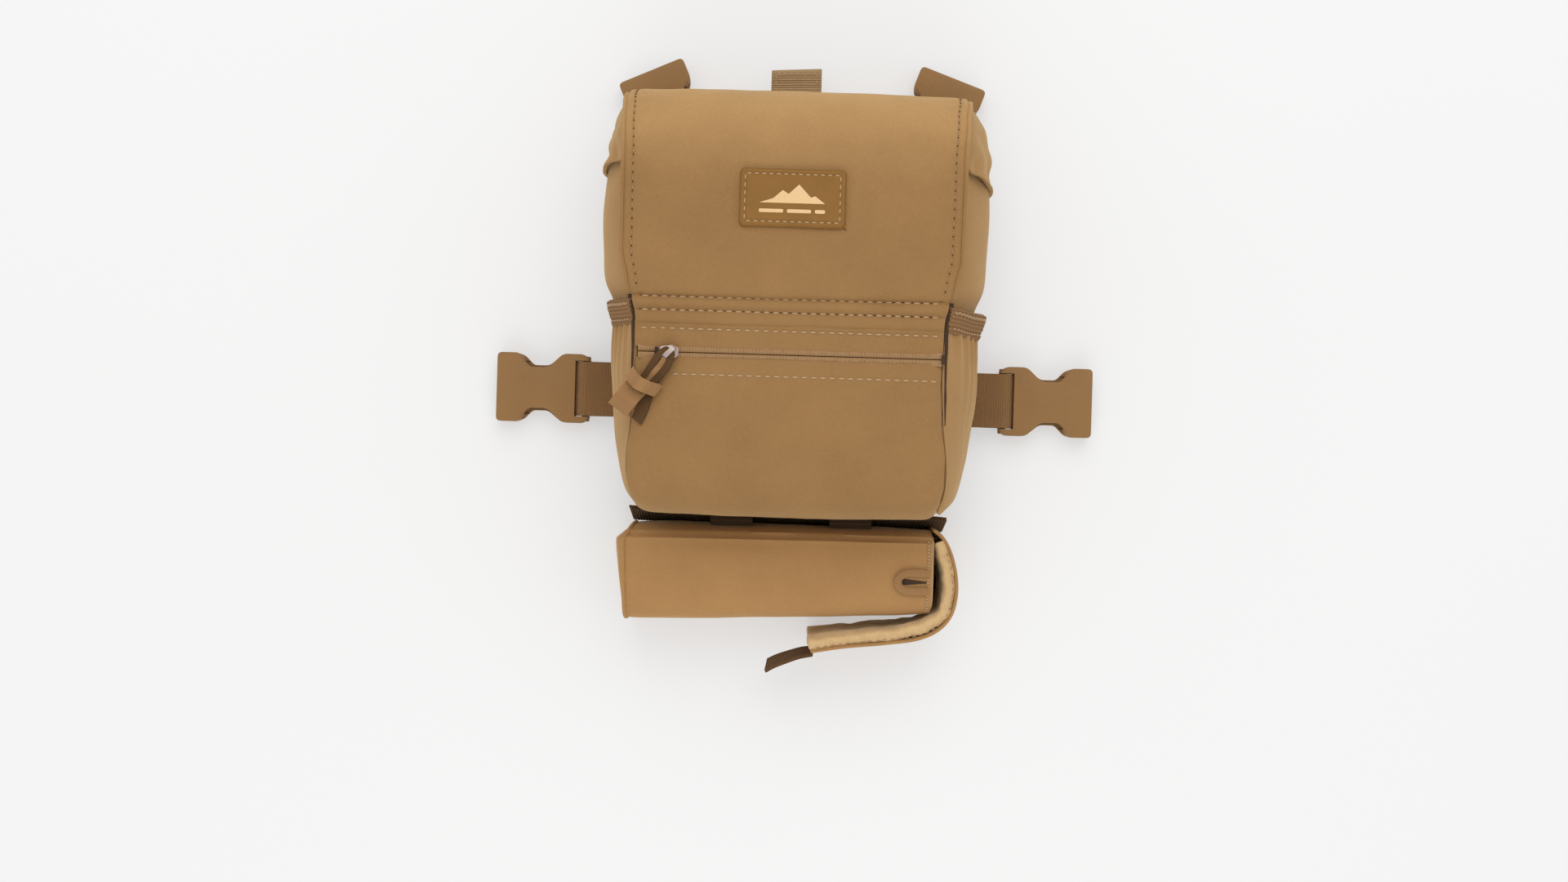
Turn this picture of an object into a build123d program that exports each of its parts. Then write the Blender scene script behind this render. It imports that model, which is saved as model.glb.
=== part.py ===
from build123d import *
import math
import os

# A chest harness pack for binoculars with a glasses case hung under it, lying on its back.
# +X is across the pack, +Y runs from the glasses case up to the lid's top edge, and +Z comes out
# of the front. Sizes are millimetres. Y is measured from the line of the side buckles, and the
# whole model is moved at the end so that its origin is the middle of its footprint.

# Back of the pack, in layers from the wearer outwards
PAD_TOP = 8.0
STRAP_THICK = 2.2
STIFFENER_THICK = 1.4
PANEL_LOW = PAD_TOP + STRAP_THICK
PANEL_TOP = PANEL_LOW + 2.0
LINING_THICK = 1.4

# Tub and front pocket
WALL = 3.0
WIDE_Z = 40.0
TUB_TOP = 73.0
FRONT_WALL_TOP = TUB_TOP + WALL
POCKET_FLOOR = 83.0
POCKET_FACE = 85.6
TUB_CORNER_Y = -43.0

# Zip, with its slot between the two parts of the pocket's front
ZIP_Y = 14.3
SLOT_HALF = 2.3
ZIP_LEFT = -61.0
ZIP_RIGHT = 64.0
TAPE_WIDE = 5.4
SLIDER_X = -55.0
PULL_TURN = 234.6

# Fold that the lid turns on, and the lid
FOLD_LOW = 32.4
FOLD_HIGH = 38.9
LID_LOW = 39.2
LID_THICK = 2.6
LID_STIFFENER = 1.0
LID_FLEECE = 1.6
PATCH_SIZE = (46.0, 25.6, 1.3)
PATCH_CENTRE = (-3.5, 81.7)

# Webbing and side-release buckles
WEB_WIDE = 25.4
BASE_LONG = 19.0
BASE_GAP = 1.5
BAR_OUT = 13.7
BAR_Z = 5.0
BAR_R = 1.9
EYE_R = 2.3
BUCKLE_REAR = 11.2
BUCKLE_MOUTH = 55.5
BUCKLE_HALF = 16.2
BUCKLE_NECK = 9.6
BUCKLE_THICK = 9.6
SIDE_ANCHOR_X = 84.5
STRAPS = {
    "side_left": (-SIDE_ANCHOR_X, -0.8, 180.0),
    "side_right": (SIDE_ANCHOR_X, -0.8, 0.0),
    "top_left": (-49.6, 99.0, 114.0),
    "top_right": (51.8, 98.0, 70.0),
}

# Glasses case
CASE_LEFT = -80.0
CASE_RIGHT = 64.8
CASE_TOP = -61.6
CASE_LOW_LEFT = -105.0
CASE_LOW_RIGHT = -99.4
CASE_DEEP = 44.0
CASE_WALL = 2.4
CASE_LINING = 1.5
BAND_Y = -58.4
BAND_THICK = 1.6
BAND_LOW = 12.0
BAND_HIGH = 37.0


def block(x0, x1, y0, y1, z0, z1):
    """A box between two corners."""
    centre = Pos((x0 + x1) / 2, (y0 + y1) / 2, (z0 + z1) / 2)
    return centre * Box(x1 - x0, y1 - y0, z1 - z0)


def outline(right_side):
    """A face that is the same left and right, from its right-hand points listed upwards."""
    left_side = [(-x, y) for x, y in reversed(right_side)]
    return make_face(Polyline(*right_side, *left_side, close=True))


def slab(right_side, low, high):
    """A flat layer between two heights."""
    return extrude(Pos(0, 0, low) * outline(right_side), high - low)


def offset_path(path, amount):
    """The points of a path, moved to its right-hand side."""
    moved = []
    for i, (a, b) in enumerate(path):
        before = path[max(i - 1, 0)]
        after = path[min(i + 1, len(path) - 1)]
        run = Vector(after[0] - before[0], after[1] - before[1]).normalized()
        moved.append((a + run.Y * amount, b - run.X * amount))
    return moved


def band(path, near, far, first=0, last=None):
    """The face between two offsets of a path, over all of it or from one point to another."""
    one_side = offset_path(path, near)[first:last]
    other_side_back = reversed(offset_path(path, far)[first:last])
    return make_face(Polyline(*one_side, *other_side_back, close=True))


def across(face, half_width):
    """A face drawn in Y and Z, made solid both ways along X."""
    return extrude(Plane.YZ * face, half_width, both=True)


def ruled(levels):
    """A solid through faces at several heights."""
    return loft([Pos(0, 0, z) * face for z, face in levels], ruled=True)


def other_side(solid):
    return mirror(solid, about=Plane.YZ)


# ---------------------------------------------------------------- back of the pack

PAD_EDGE = [(58, -50), (68, -42), (73, -18), (75, 40), (79, 60), (80, 84), (51, 96.8), (28, 107)]
PANEL_EDGE = [(60, -52), (70, -43), (74, -18), (76, 40), (81, 60), (83, 92), (82, 108), (76, 127)]
STIFF_EDGE = [(48, -40), (58, -32), (58, 66), (26, 84)]


def back_pad():
    pad = slab(PAD_EDGE, 0, PAD_TOP)
    return chamfer(pad.faces().sort_by(Axis.Z)[0].edges(), 2.0)


def back_stiffener():
    return slab(STIFF_EDGE, PAD_TOP, PAD_TOP + STIFFENER_THICK)


def back_panel():
    return slab(PANEL_EDGE, PANEL_LOW, PANEL_TOP)


def strap_base(turn_x, turn_y, turn):
    """The webbing's end, sewn between the pad and the panel."""
    tail = block(-BASE_LONG, -BASE_GAP, -WEB_WIDE / 2, WEB_WIDE / 2, PAD_TOP, PANEL_LOW)
    return Pos(turn_x, turn_y, 0) * Rot(0, 0, turn) * tail


# ---------------------------------------------------------------- tub

TUB_BACK = [(58, -51), (67, TUB_CORNER_Y), (71, 10), (73, 38), (81, 57), (83, 92), (82, 108), (78, 124)]
TUB_WIDE = [(60, -53.4), (70, -44), (73, 10), (75, 38), (85, 57), (87, 92), (86, 108), (80, 124)]
TUB_FRONT = [(54, -52.5), (61, -44), (63, 10), (64, 38), (66, 57), (69, 92), (70, 108), (70, 124)]
TUB_SIDE = [(-60, PANEL_TOP), (-60, TUB_TOP), (60, TUB_TOP), (95, 64), (116, 40), (122, PANEL_TOP)]


def thinned(points):
    return [(x - WALL, y + WALL if y < 0 else y) for x, y in points]


TUB_LEVELS = [(PANEL_TOP, TUB_BACK), (WIDE_Z, TUB_WIDE), (TUB_TOP, TUB_FRONT)]


def tub_outer():
    return ruled([(z, outline(points)) for z, points in TUB_LEVELS])


def tub_ring():
    """The tub's walls all round, lower towards the front so that the lid can close over them."""
    inner = ruled([(z, outline(thinned(points))) for z, points in TUB_LEVELS])
    side = make_face(Polyline(*TUB_SIDE, close=True))
    return (tub_outer() - inner) & across(side, 95)


def tub_front_wall():
    edge = [(x, min(y, FOLD_LOW)) for x, y in TUB_FRONT[:3]] + [(64, FOLD_LOW)]
    return slab(edge, TUB_TOP, FRONT_WALL_TOP)


def tub_lining():
    """Fleece over the inside of the back and of the front wall."""
    back_edge = [(56, -46), (62, -40), (66, 10), (68, 38), (76, 58), (77, 110)]
    front_edge = [(49, -46), (55, -40), (58, 10), (58, 30)]
    back = slab(back_edge, PANEL_TOP, PANEL_TOP + LINING_THICK)
    front = slab(front_edge, TUB_TOP - LINING_THICK, TUB_TOP)
    return back, front


def back_magnets():
    spots = [Pos(x, 114, PANEL_TOP + LINING_THICK / 2) for x in (-42, 42)]
    return [spot * Cylinder(7, LINING_THICK) for spot in spots]


# ---------------------------------------------------------------- front pocket and zip

POCKET_EDGE = [(54, -54), (64, -48), (68, -30), (66, ZIP_Y - SLOT_HALF)]


def pocket_panel():
    return slab(POCKET_EDGE, POCKET_FLOOR, POCKET_FACE)


def pocket_top_strip():
    return block(-65, 65, ZIP_Y + SLOT_HALF, FOLD_LOW, POCKET_FLOOR, POCKET_FACE)


def pocket_gusset():
    """The strips that stand the pocket's front off the tub."""
    right = block(58, 61, -42, ZIP_Y - SLOT_HALF - TAPE_WIDE, FRONT_WALL_TOP, POCKET_FLOOR)
    bottom = block(-52, 52, -51, -48, FRONT_WALL_TOP, POCKET_FLOOR)
    return [other_side(right), bottom, right]


def hinge_fold():
    """The padded channel between two rows of stitches, which the lid turns on."""
    fold = block(-65, 65, FOLD_LOW, FOLD_HIGH, FRONT_WALL_TOP, POCKET_FACE)
    return chamfer(fold.edges().filter_by(Axis.X).group_by(Axis.Z)[-1], 1.0)


def zipper_tapes():
    low = POCKET_FLOOR - 1.1
    upper_y = ZIP_Y + SLOT_HALF
    lower_y = ZIP_Y - SLOT_HALF
    upper = block(ZIP_LEFT, ZIP_RIGHT, upper_y, upper_y + TAPE_WIDE, low, POCKET_FLOOR)
    lower = block(ZIP_LEFT, ZIP_RIGHT, lower_y - TAPE_WIDE, lower_y, low, POCKET_FLOOR)
    return [upper, lower]


def zipper_coils():
    """Two rows of teeth, with a hair's gap that the slider's post passes through."""
    low = POCKET_FLOOR - 1.1
    row = block(ZIP_LEFT, ZIP_RIGHT, 0.4, SLOT_HALF, low, low + 2.0)
    return [Pos(0, ZIP_Y, 0) * row, Pos(0, ZIP_Y, 0) * mirror(row, about=Plane.XZ)]


def zipper_stops():
    low = POCKET_FLOOR + 0.9
    ends = [(ZIP_LEFT, ZIP_LEFT + 1.6), (ZIP_RIGHT - 1.6, ZIP_RIGHT)]
    return [block(a, b, ZIP_Y - 2, ZIP_Y + 2, low, low + 1.4) for a, b in ends]


def zip_slider():
    """Two plates joined by a post, with an arch for the pull on top."""
    coil_low = POCKET_FLOOR - 1.1
    under = block(-4, 4, -2, 2, coil_low - 1.2, coil_low - 0.2)
    post = block(-1.5, 1.5, -0.25, 0.25, coil_low - 0.3, coil_low + 2.3)
    plate = block(-5, 5, -4, 4, POCKET_FACE + 0.2, POCKET_FACE + 1.2)
    neck = block(-4, 4, -1.9, 1.9, coil_low + 2.2, POCKET_FACE + 0.3)
    arch = block(-3.4, 3.4, -1.5, 1.5, POCKET_FACE + 1.1, POCKET_FACE + 5.2)
    hole = block(-2.2, 2.2, -3, 3, POCKET_FACE + 1.2, POCKET_FACE + 4.2)
    slider = under + post + plate + neck + Rot(0, 0, PULL_TURN) * (arch - hole)
    return Pos(SLIDER_X, ZIP_Y, 0) * slider


def zip_pull():
    """A webbing loop through the arch, a knot, and its tail, lying down across the pocket."""
    mid = POCKET_FACE + 2.7
    ring = extrude(SlotOverall(20, 9) - SlotOverall(17.4, 5.4), 1.2, both=True)
    loop = Pos(8.7, 0, mid) * (ring & block(-11, 11, -6, 6, -1.1, 1.1))
    knot = block(17, 26, -5.5, 5.5, mid - 2.4, mid + 3.2)
    knot = chamfer(knot.edges().filter_by(Axis.X), 1.6)
    tail = block(25.5, 36, -5, 5, mid - 1.8, mid + 0.2)
    pull = loop + knot + tail
    return Pos(SLIDER_X, ZIP_Y, 0) * Rot(0, 0, PULL_TURN) * pull


# ---------------------------------------------------------------- side pockets

POCKET_LEVELS = {
    13.5: [(69, -46), (70.6, -20), (72, 10), (73, 28), (73.6, 38.4)],
    20.0: [(71, -47), (77, -20), (80.2, 10), (81.2, 28), (81.4, 38.4)],
    40.0: [(71.4, -48), (79.6, -20), (82.2, 10), (82.8, 28), (82.6, 38.4)],
    56.0: [(68.2, -47), (75.4, -20), (77.2, 10), (77.2, 28), (75.6, 38.4)],
    68.0: [(63.8, -46), (65.4, -20), (66, 10), (66.4, 28), (66.8, 38.4)],
}


def side_pocket():
    return ruled([(z, band(path, 0, 1.5, 0, 4)) for z, path in POCKET_LEVELS.items()])


def side_binding():
    """The elastic sewn over the pocket's top edge."""
    return ruled([(z, band(path, -0.5, 2.3, 3)) for z, path in POCKET_LEVELS.items()])


# ---------------------------------------------------------------- lid

LID_PATH = [
    (LID_LOW, POCKET_FACE),
    (98, 82),
    (113, 77),
    (122, 69),
    (128, 58),
    (131, 46),
    (131.8, 34),
    (131.5, 22),
    (130.5, PANEL_TOP + 0.4),
]
LID_EDGE = [(68, LID_LOW - 1), (70.5, 82), (73.5, 135)]
LID_TURN = 4
LID_HALF = 73.5
TOP_HALF = 78.0
WING_LEVELS = {
    PANEL_TOP + 0.4: [(88.4, 91), (88.2, 106), (85.6, 120), (78.6, 129)],
    42.0: [(88.4, 91), (88.2, 106), (85.6, 120), (78.6, 129)],
    68.0: [(76.0, 91), (76.6, 106), (75.6, 116), (74.2, 122)],
}
WING_SIDE = [(104, 70), (94, 46), (92, 10), (135, 10), (135, 70)]


def lid_front_panel():
    edge = slab(LID_EDGE, 0, 100)
    return across(band(LID_PATH, 0, LID_THICK, 0, LID_TURN + 1), 90) & edge


def lid_top_panel():
    """The panel that comes down over the pack's top, a little narrower towards the front."""
    panel = across(band(LID_PATH, 0, LID_THICK, LID_TURN), TOP_HALF)
    half = [(LID_HALF, 70), (TOP_HALF, 46), (TOP_HALF, 0)]
    edge = half + [(-x, z) for x, z in reversed(half)]
    taper = extrude(Plane.XZ.offset(-140) * make_face(Polyline(*edge, close=True)), 60)
    return panel & taper


def lid_front_z(y):
    """How high the lid's flat front stands at a given Y."""
    (y0, z0), (y1, z1) = LID_PATH[:2]
    return z0 + (z1 - z0) * (y - y0) / (y1 - y0)


def lid_layer(low_y, high_y, near, far, half_width):
    """A flat layer that lies along the lid's front."""
    path = [(y, lid_front_z(y)) for y in (low_y, high_y)]
    return across(band(path, near, far), half_width)


def lid_stiffener():
    return lid_layer(46, 96, LID_THICK, LID_THICK + LID_STIFFENER, 60)


def lid_lining():
    low = LID_THICK + LID_STIFFENER
    return lid_layer(44, 98, low, low + LID_FLEECE, 62)


def lid_patch():
    wide, high, thick = PATCH_SIZE
    middle = PATCH_CENTRE[1]
    plate = lid_layer(middle - high / 2, middle + high / 2, -thick, 0, wide / 2)
    plate = fillet(plate.edges().filter_by(Axis.X, reverse=True).sort_by(Edge.length)[:4], 1.2)
    return Pos(PATCH_CENTRE[0], 0, 0) * plate


def lid_wing():
    wing = ruled([(z, band(path, 0, 2.0)) for z, path in WING_LEVELS.items()])
    return wing & across(make_face(Polyline(*WING_SIDE, close=True)), 95)


def lid_pull_tab():
    """Folded webbing sewn on the lid's rear edge."""
    tab = block(-15, 8.4, 130.9, 152, 13.2, 15.8)
    return chamfer(tab.edges().filter_by(Axis.X).group_by(Axis.Y)[-1], 1.0)


def lid_magnets():
    spots = [Pos(x, 126.9, 20) * Rot(90, 0, 0) for x in (-42, 42)]
    return [spot * Cylinder(6, 1.8) for spot in spots]


# ---------------------------------------------------------------- straps and buckles


def placed(node, solid):
    x, y, turn = STRAPS[node]
    return Pos(x, y, 0) * Rot(0, 0, turn) * solid


def strap():
    """Doubled webbing from the seam down to the buckle's bar, and round it."""
    edge = [
        (0.3, PAD_TOP + 0.1),
        (0.3, PANEL_LOW - 0.1),
        (7.0, 9.2),
        (BAR_OUT - 0.4, 8.6),
        (BAR_OUT + 2.6, 7.6),
        (BAR_OUT + 3.6, BAR_Z),
        (BAR_OUT + 2.6, 2.4),
        (BAR_OUT, 1.4),
        (BAR_OUT - 3.0, 2.2),
        (5.0, 6.4),
    ]
    side = make_face(Polyline(*edge, close=True))
    eye = Pos(BAR_OUT, BAR_Z) * Circle(EYE_R)
    web = extrude(Plane.XZ * (side - eye), WEB_WIDE / 2, both=True)
    return web


def buckle():
    """A female side-release body: frame and bar behind, open neck, socket in front."""
    flare = BUCKLE_REAR + 14.5
    half = [
        (BUCKLE_REAR, BUCKLE_HALF - 3),
        (BUCKLE_REAR + 3, BUCKLE_HALF),
        (flare, BUCKLE_HALF),
        (flare + 6.5, BUCKLE_NECK),
        (BUCKLE_MOUTH - 16, BUCKLE_NECK),
        (BUCKLE_MOUTH - 11, BUCKLE_HALF),
        (BUCKLE_MOUTH, BUCKLE_HALF),
    ]
    edge = half + [(x, -y) for x, y in reversed(half)]
    body = extrude(make_face(Polyline(*edge, close=True)), BUCKLE_THICK)
    body = chamfer(body.edges().filter_by(Plane.XY), 0.9)
    slot = block(BUCKLE_REAR - 1, BAR_OUT + 9.6, -13.1, 13.1, -1, BUCKLE_THICK + 1)
    socket = block(BUCKLE_REAR + 16.5, BUCKLE_MOUTH + 1, -12.6, 12.6, 1.7, BUCKLE_THICK - 1.7)
    bar = Pos(BAR_OUT, 0, BAR_Z) * Rot(90, 0, 0) * Cylinder(BAR_R, 28)
    return body - slot - socket + bar


# ---------------------------------------------------------------- glasses case

CASE_EDGE = [
    (CASE_LEFT, CASE_TOP - 8),
    (CASE_LEFT + 6, CASE_TOP),
    (CASE_RIGHT, CASE_TOP),
    (CASE_RIGHT, CASE_LOW_RIGHT + 8),
    (CASE_RIGHT - 6, CASE_LOW_RIGHT),
    (CASE_LEFT + 6, CASE_LOW_LEFT),
    (CASE_LEFT, CASE_LOW_LEFT + 7),
]


def case_slab(inset, low, high):
    """A layer of the case's outline, drawn in by a wall's thickness but not at its open end."""
    centre = Vector(0, (CASE_TOP + CASE_LOW_LEFT) / 2)
    moved = []
    for x, y in CASE_EDGE:
        move_x = inset if x < 0 else 0
        move_y = -inset if y > centre.Y else inset
        moved.append((x + move_x, y + move_y))
    return extrude(Pos(0, 0, low) * make_face(Polyline(*moved, close=True)), high - low)


def case_walls():
    """The sides between the front and the back, cut into top, bottom and end."""
    low = CASE_WALL
    high = CASE_DEEP - CASE_WALL
    ring = case_slab(0, low, high) - case_slab(CASE_WALL, low, high)
    ring = ring - block(CASE_RIGHT - 0.1, CASE_RIGHT + 1, -120, -50, 0, CASE_DEEP)
    end_x = CASE_LEFT + CASE_WALL + 4
    middle = (CASE_TOP + CASE_LOW_LEFT) / 2
    top = ring & block(end_x, 90, middle, 0, 0, 60)
    bottom = ring & block(end_x, 90, -130, middle, 0, 60)
    end = ring & block(-90, end_x, -130, 0, 0, 60)
    return top, bottom, end


def case_lining():
    """Fleece on the inside of the front, the back, the top and the bottom."""
    low = CASE_WALL
    high = CASE_DEEP - CASE_WALL
    inside = CASE_WALL + CASE_LINING
    front = case_slab(CASE_WALL + 0.2, high - CASE_LINING, high)
    back = case_slab(CASE_WALL + 0.2, low, low + CASE_LINING)
    ring = case_slab(CASE_WALL, low + CASE_LINING, high - CASE_LINING)
    ring = ring - case_slab(inside, low + CASE_LINING, high - CASE_LINING)
    sides = ring & block(CASE_LEFT + 12, CASE_RIGHT - 2, -130, 0, 0, 60)
    return [front, back] + list(sides.solids())


def case_front_loop():
    """A small flat ribbon loop beside the case's mouth."""
    outer = SlotOverall(20, 11.8) - Pos(-1, 0) * SlotOverall(11, 3.4)
    loop = extrude(Pos(58, -84.3, CASE_DEEP) * outer, 2.0)
    return loop & block(40, CASE_RIGHT, -100, -60, 0, 60)


def bottom_band():
    """Webbing along the pack's underside."""
    half = BAND_THICK / 2
    return block(-73, 73, BAND_Y - half, BAND_Y + half, BAND_LOW, BAND_HIGH)


def band_tacks():
    """The folds that hold the band to the tub's underside."""
    low_y = BAND_Y + BAND_THICK / 2
    return [block(x - 4, x + 4, low_y, -50, 14, 35) - tub_outer() for x in (-54, 0, 54)]


def case_attach_straps():
    """Two straps sewn to the case, each closed round the webbing band."""
    high_y = BAND_Y + BAND_THICK / 2 + 2.2
    low_y = CASE_TOP
    straps = []
    for x in (-27, 27):
        outer = block(x - 9.5, x + 9.5, low_y, high_y, BAND_LOW - 2.6, BAND_HIGH + 2.6)
        inner = block(x - 11, x + 11, low_y + 1.0, high_y - 1.2, BAND_LOW - 1.4, BAND_HIGH + 1.4)
        straps.append(outer - inner)
    return straps


# ---------------------------------------------------------------- case flap

FLAP_PATH = [
    (66.4, -61.0),
    (71.8, -68.4),
    (75.2, -82.0),
    (75.0, -93.0),
    (70.4, -102.8),
    (59.0, -109.8),
    (36.0, -113.6),
    (10.0, -118.0),
]
FLAP_LOW = 1.5
FLAP_HIGH = 42.5
FLAP_OUTER = 2.0
FLAP_FLEECE = 3.4
MAGNET_R = 5.5
MAGNET_THICK = 1.4
MAGNET_Z = 22.0


def flap_panel():
    face = band(FLAP_PATH, 0, FLAP_OUTER)
    return extrude(Pos(0, 0, FLAP_LOW) * face, FLAP_HIGH - FLAP_LOW)


def flap_lining():
    face = band(FLAP_PATH, FLAP_OUTER, FLAP_OUTER + FLAP_FLEECE, 1)
    return extrude(Pos(0, 0, FLAP_LOW + 1) * face, FLAP_HIGH - FLAP_LOW - 2)


def flap_ribbon():
    """A folded pull ribbon at the flap's tip."""
    path = [(9.5, -118.4), (-9.8, -125.8)]
    face = band(path, 0, 1.6)
    return extrude(Pos(0, 0, 14) * face, 15)


def magnet_in(start, end, share, depth):
    """A small disc let into a wall that runs from one point to another, some way along it."""
    run = Vector(end[0] - start[0], end[1] - start[1])
    inward = Vector(run.Y, -run.X).normalized() * depth
    turn = math.degrees(math.atan2(run.Y, run.X))
    spot = Pos(start[0] + run.X * share + inward.X, start[1] + run.Y * share + inward.Y, MAGNET_Z)
    return spot * Rot(0, 0, turn) * Rot(90, 0, 0) * Cylinder(MAGNET_R, MAGNET_THICK)


def flap_magnet():
    return magnet_in(FLAP_PATH[6], FLAP_PATH[7], 0.5, FLAP_OUTER + FLAP_FLEECE / 2)


def case_magnet():
    return magnet_in(CASE_EDGE[4], CASE_EDGE[5], 0.27, CASE_WALL / 2)


# ---------------------------------------------------------------- all pieces


def pieces():
    """Every node's solids, by name."""
    made = {
        "back_pad": back_pad(),
        "back_stiffener": back_stiffener(),
        "back_panel": back_panel(),
        "tub_front_wall": tub_front_wall(),
        "back_magnets": back_magnets(),
        "pocket_panel": pocket_panel(),
        "pocket_top_strip": pocket_top_strip(),
        "pocket_gusset": pocket_gusset(),
        "hinge_fold": hinge_fold(),
        "zipper_tapes": zipper_tapes(),
        "zipper_coils": zipper_coils(),
        "zipper_stops": zipper_stops(),
        "zip_slider": zip_slider(),
        "zip_pull": zip_pull(),
        "side_pocket_right": side_pocket(),
        "side_pocket_left": other_side(side_pocket()),
        "side_binding_right": side_binding(),
        "side_binding_left": other_side(side_binding()),
        "lid_front_panel": lid_front_panel(),
        "lid_top_panel": lid_top_panel(),
        "lid_stiffener": lid_stiffener(),
        "lid_lining": lid_lining(),
        "lid_patch": lid_patch(),
        "lid_wing_right": lid_wing(),
        "lid_wing_left": other_side(lid_wing()),
        "lid_pull_tab": lid_pull_tab(),
        "lid_magnets": lid_magnets(),
        "bottom_band": bottom_band(),
        "band_tacks": band_tacks(),
        "case_front_wall": case_slab(0, CASE_DEEP - CASE_WALL, CASE_DEEP),
        "case_back_wall": case_slab(0, 0, CASE_WALL),
        "case_lining": case_lining(),
        "case_front_loop": case_front_loop(),
        "case_attach_straps": case_attach_straps(),
        "flap_panel": flap_panel(),
        "flap_ribbon": flap_ribbon(),
    }
    ring = tub_ring()
    made["tub_right_wall"] = ring & block(0, 95, TUB_CORNER_Y, 130, 0, 100)
    made["tub_left_wall"] = ring & block(-95, 0, TUB_CORNER_Y, 130, 0, 100)
    made["tub_bottom_wall"] = ring & block(-95, 95, -70, TUB_CORNER_Y, 0, 100)
    made["back_lining"], made["front_lining"] = tub_lining()
    for magnet in made["back_magnets"]:
        made["back_lining"] = made["back_lining"] - magnet
    made["case_top_wall"], bottom_wall, made["case_end_wall"] = case_walls()
    made["case_magnet"] = case_magnet()
    made["case_bottom_wall"] = bottom_wall - made["case_magnet"]
    made["flap_magnet"] = flap_magnet()
    made["flap_lining"] = flap_lining() - made["flap_magnet"]
    made["strap_bases"] = [strap_base(*place) for place in STRAPS.values()]
    for name in STRAPS:
        made[name + "_strap"] = placed(name, strap())
        made[name + "_buckle"] = placed(name, buckle())
    return made


def write(made):
    """Moves everything so that the origin is the footprint's middle, and writes one file a node."""
    os.makedirs("parts", exist_ok=True)
    groups = {}
    for name, shapes in made.items():
        shapes = shapes if isinstance(shapes, list) else [shapes]
        groups[name] = [solid for shape in shapes for solid in shape.solids()]
    box = Compound([solid for group in groups.values() for solid in group]).bounding_box()
    move = Pos(-(box.min.X + box.max.X) / 2, -(box.min.Y + box.max.Y) / 2, -box.min.Z)
    for name, group in groups.items():
        moved = [move * solid for solid in group]
        export_step(Compound(moved) if len(moved) > 1 else moved[0], f"parts/{name}.step")
    print("moved by", move.position, "size", box.size, "nodes", len(groups))


write(pieces())
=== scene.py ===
import math

import bpy
from bpy.props import FloatProperty, FloatVectorProperty, PointerProperty
from mathutils import Matrix, Vector, noise


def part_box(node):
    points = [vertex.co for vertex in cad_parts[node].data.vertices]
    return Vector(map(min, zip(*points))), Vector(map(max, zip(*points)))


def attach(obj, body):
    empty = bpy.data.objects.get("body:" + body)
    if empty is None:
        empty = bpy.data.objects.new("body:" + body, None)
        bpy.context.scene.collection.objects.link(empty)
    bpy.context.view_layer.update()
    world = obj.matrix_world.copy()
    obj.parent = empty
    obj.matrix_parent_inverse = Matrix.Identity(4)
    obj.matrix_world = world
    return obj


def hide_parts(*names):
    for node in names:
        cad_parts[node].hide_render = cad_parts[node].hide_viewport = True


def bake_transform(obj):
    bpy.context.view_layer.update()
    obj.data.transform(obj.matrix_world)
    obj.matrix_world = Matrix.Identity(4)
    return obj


bl_info = {
    "name": "Binocular harness pack",
    "version": (1, 0, 0),
    "blender": (4, 5, 0),
    "location": "3D View > Sidebar > Harness pack",
    "description": "Makes the fabric, webbing, zip and buckles of a chest pack"
                   " round its packed frame",
    "category": "Add Mesh",
}

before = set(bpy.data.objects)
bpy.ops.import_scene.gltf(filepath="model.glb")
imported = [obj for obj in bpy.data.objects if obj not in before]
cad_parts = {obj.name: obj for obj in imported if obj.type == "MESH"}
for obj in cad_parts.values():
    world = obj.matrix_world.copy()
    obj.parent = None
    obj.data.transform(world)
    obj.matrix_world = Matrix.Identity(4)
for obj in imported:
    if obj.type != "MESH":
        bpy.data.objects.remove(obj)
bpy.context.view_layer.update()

# Lengths below are millimetres in the pack's own axes: X across, Y from the glasses case up to the
# lid's far edge with zero near the side buckles, and Z out of the front. The frame is in metres.
MM = 0.001
SIDE_STRAP_DROP = 0.8
BASE_Y = sum(corner.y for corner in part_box("side_right_buckle")) / 2 + SIDE_STRAP_DROP * MM
LEAN_PER_HEIGHT = -3.2 / 85


def at(x, y, z):
    """A place in the pack's millimetres, as a point of the frame."""
    return Vector((x * MM, y * MM + BASE_Y, z * MM))


def leaning(x, z):
    """The front of the pack leans a little to the left of its back."""
    return x + LEAN_PER_HEIGHT * z


# ---------------------------------------------------------------- lines and tables


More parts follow.
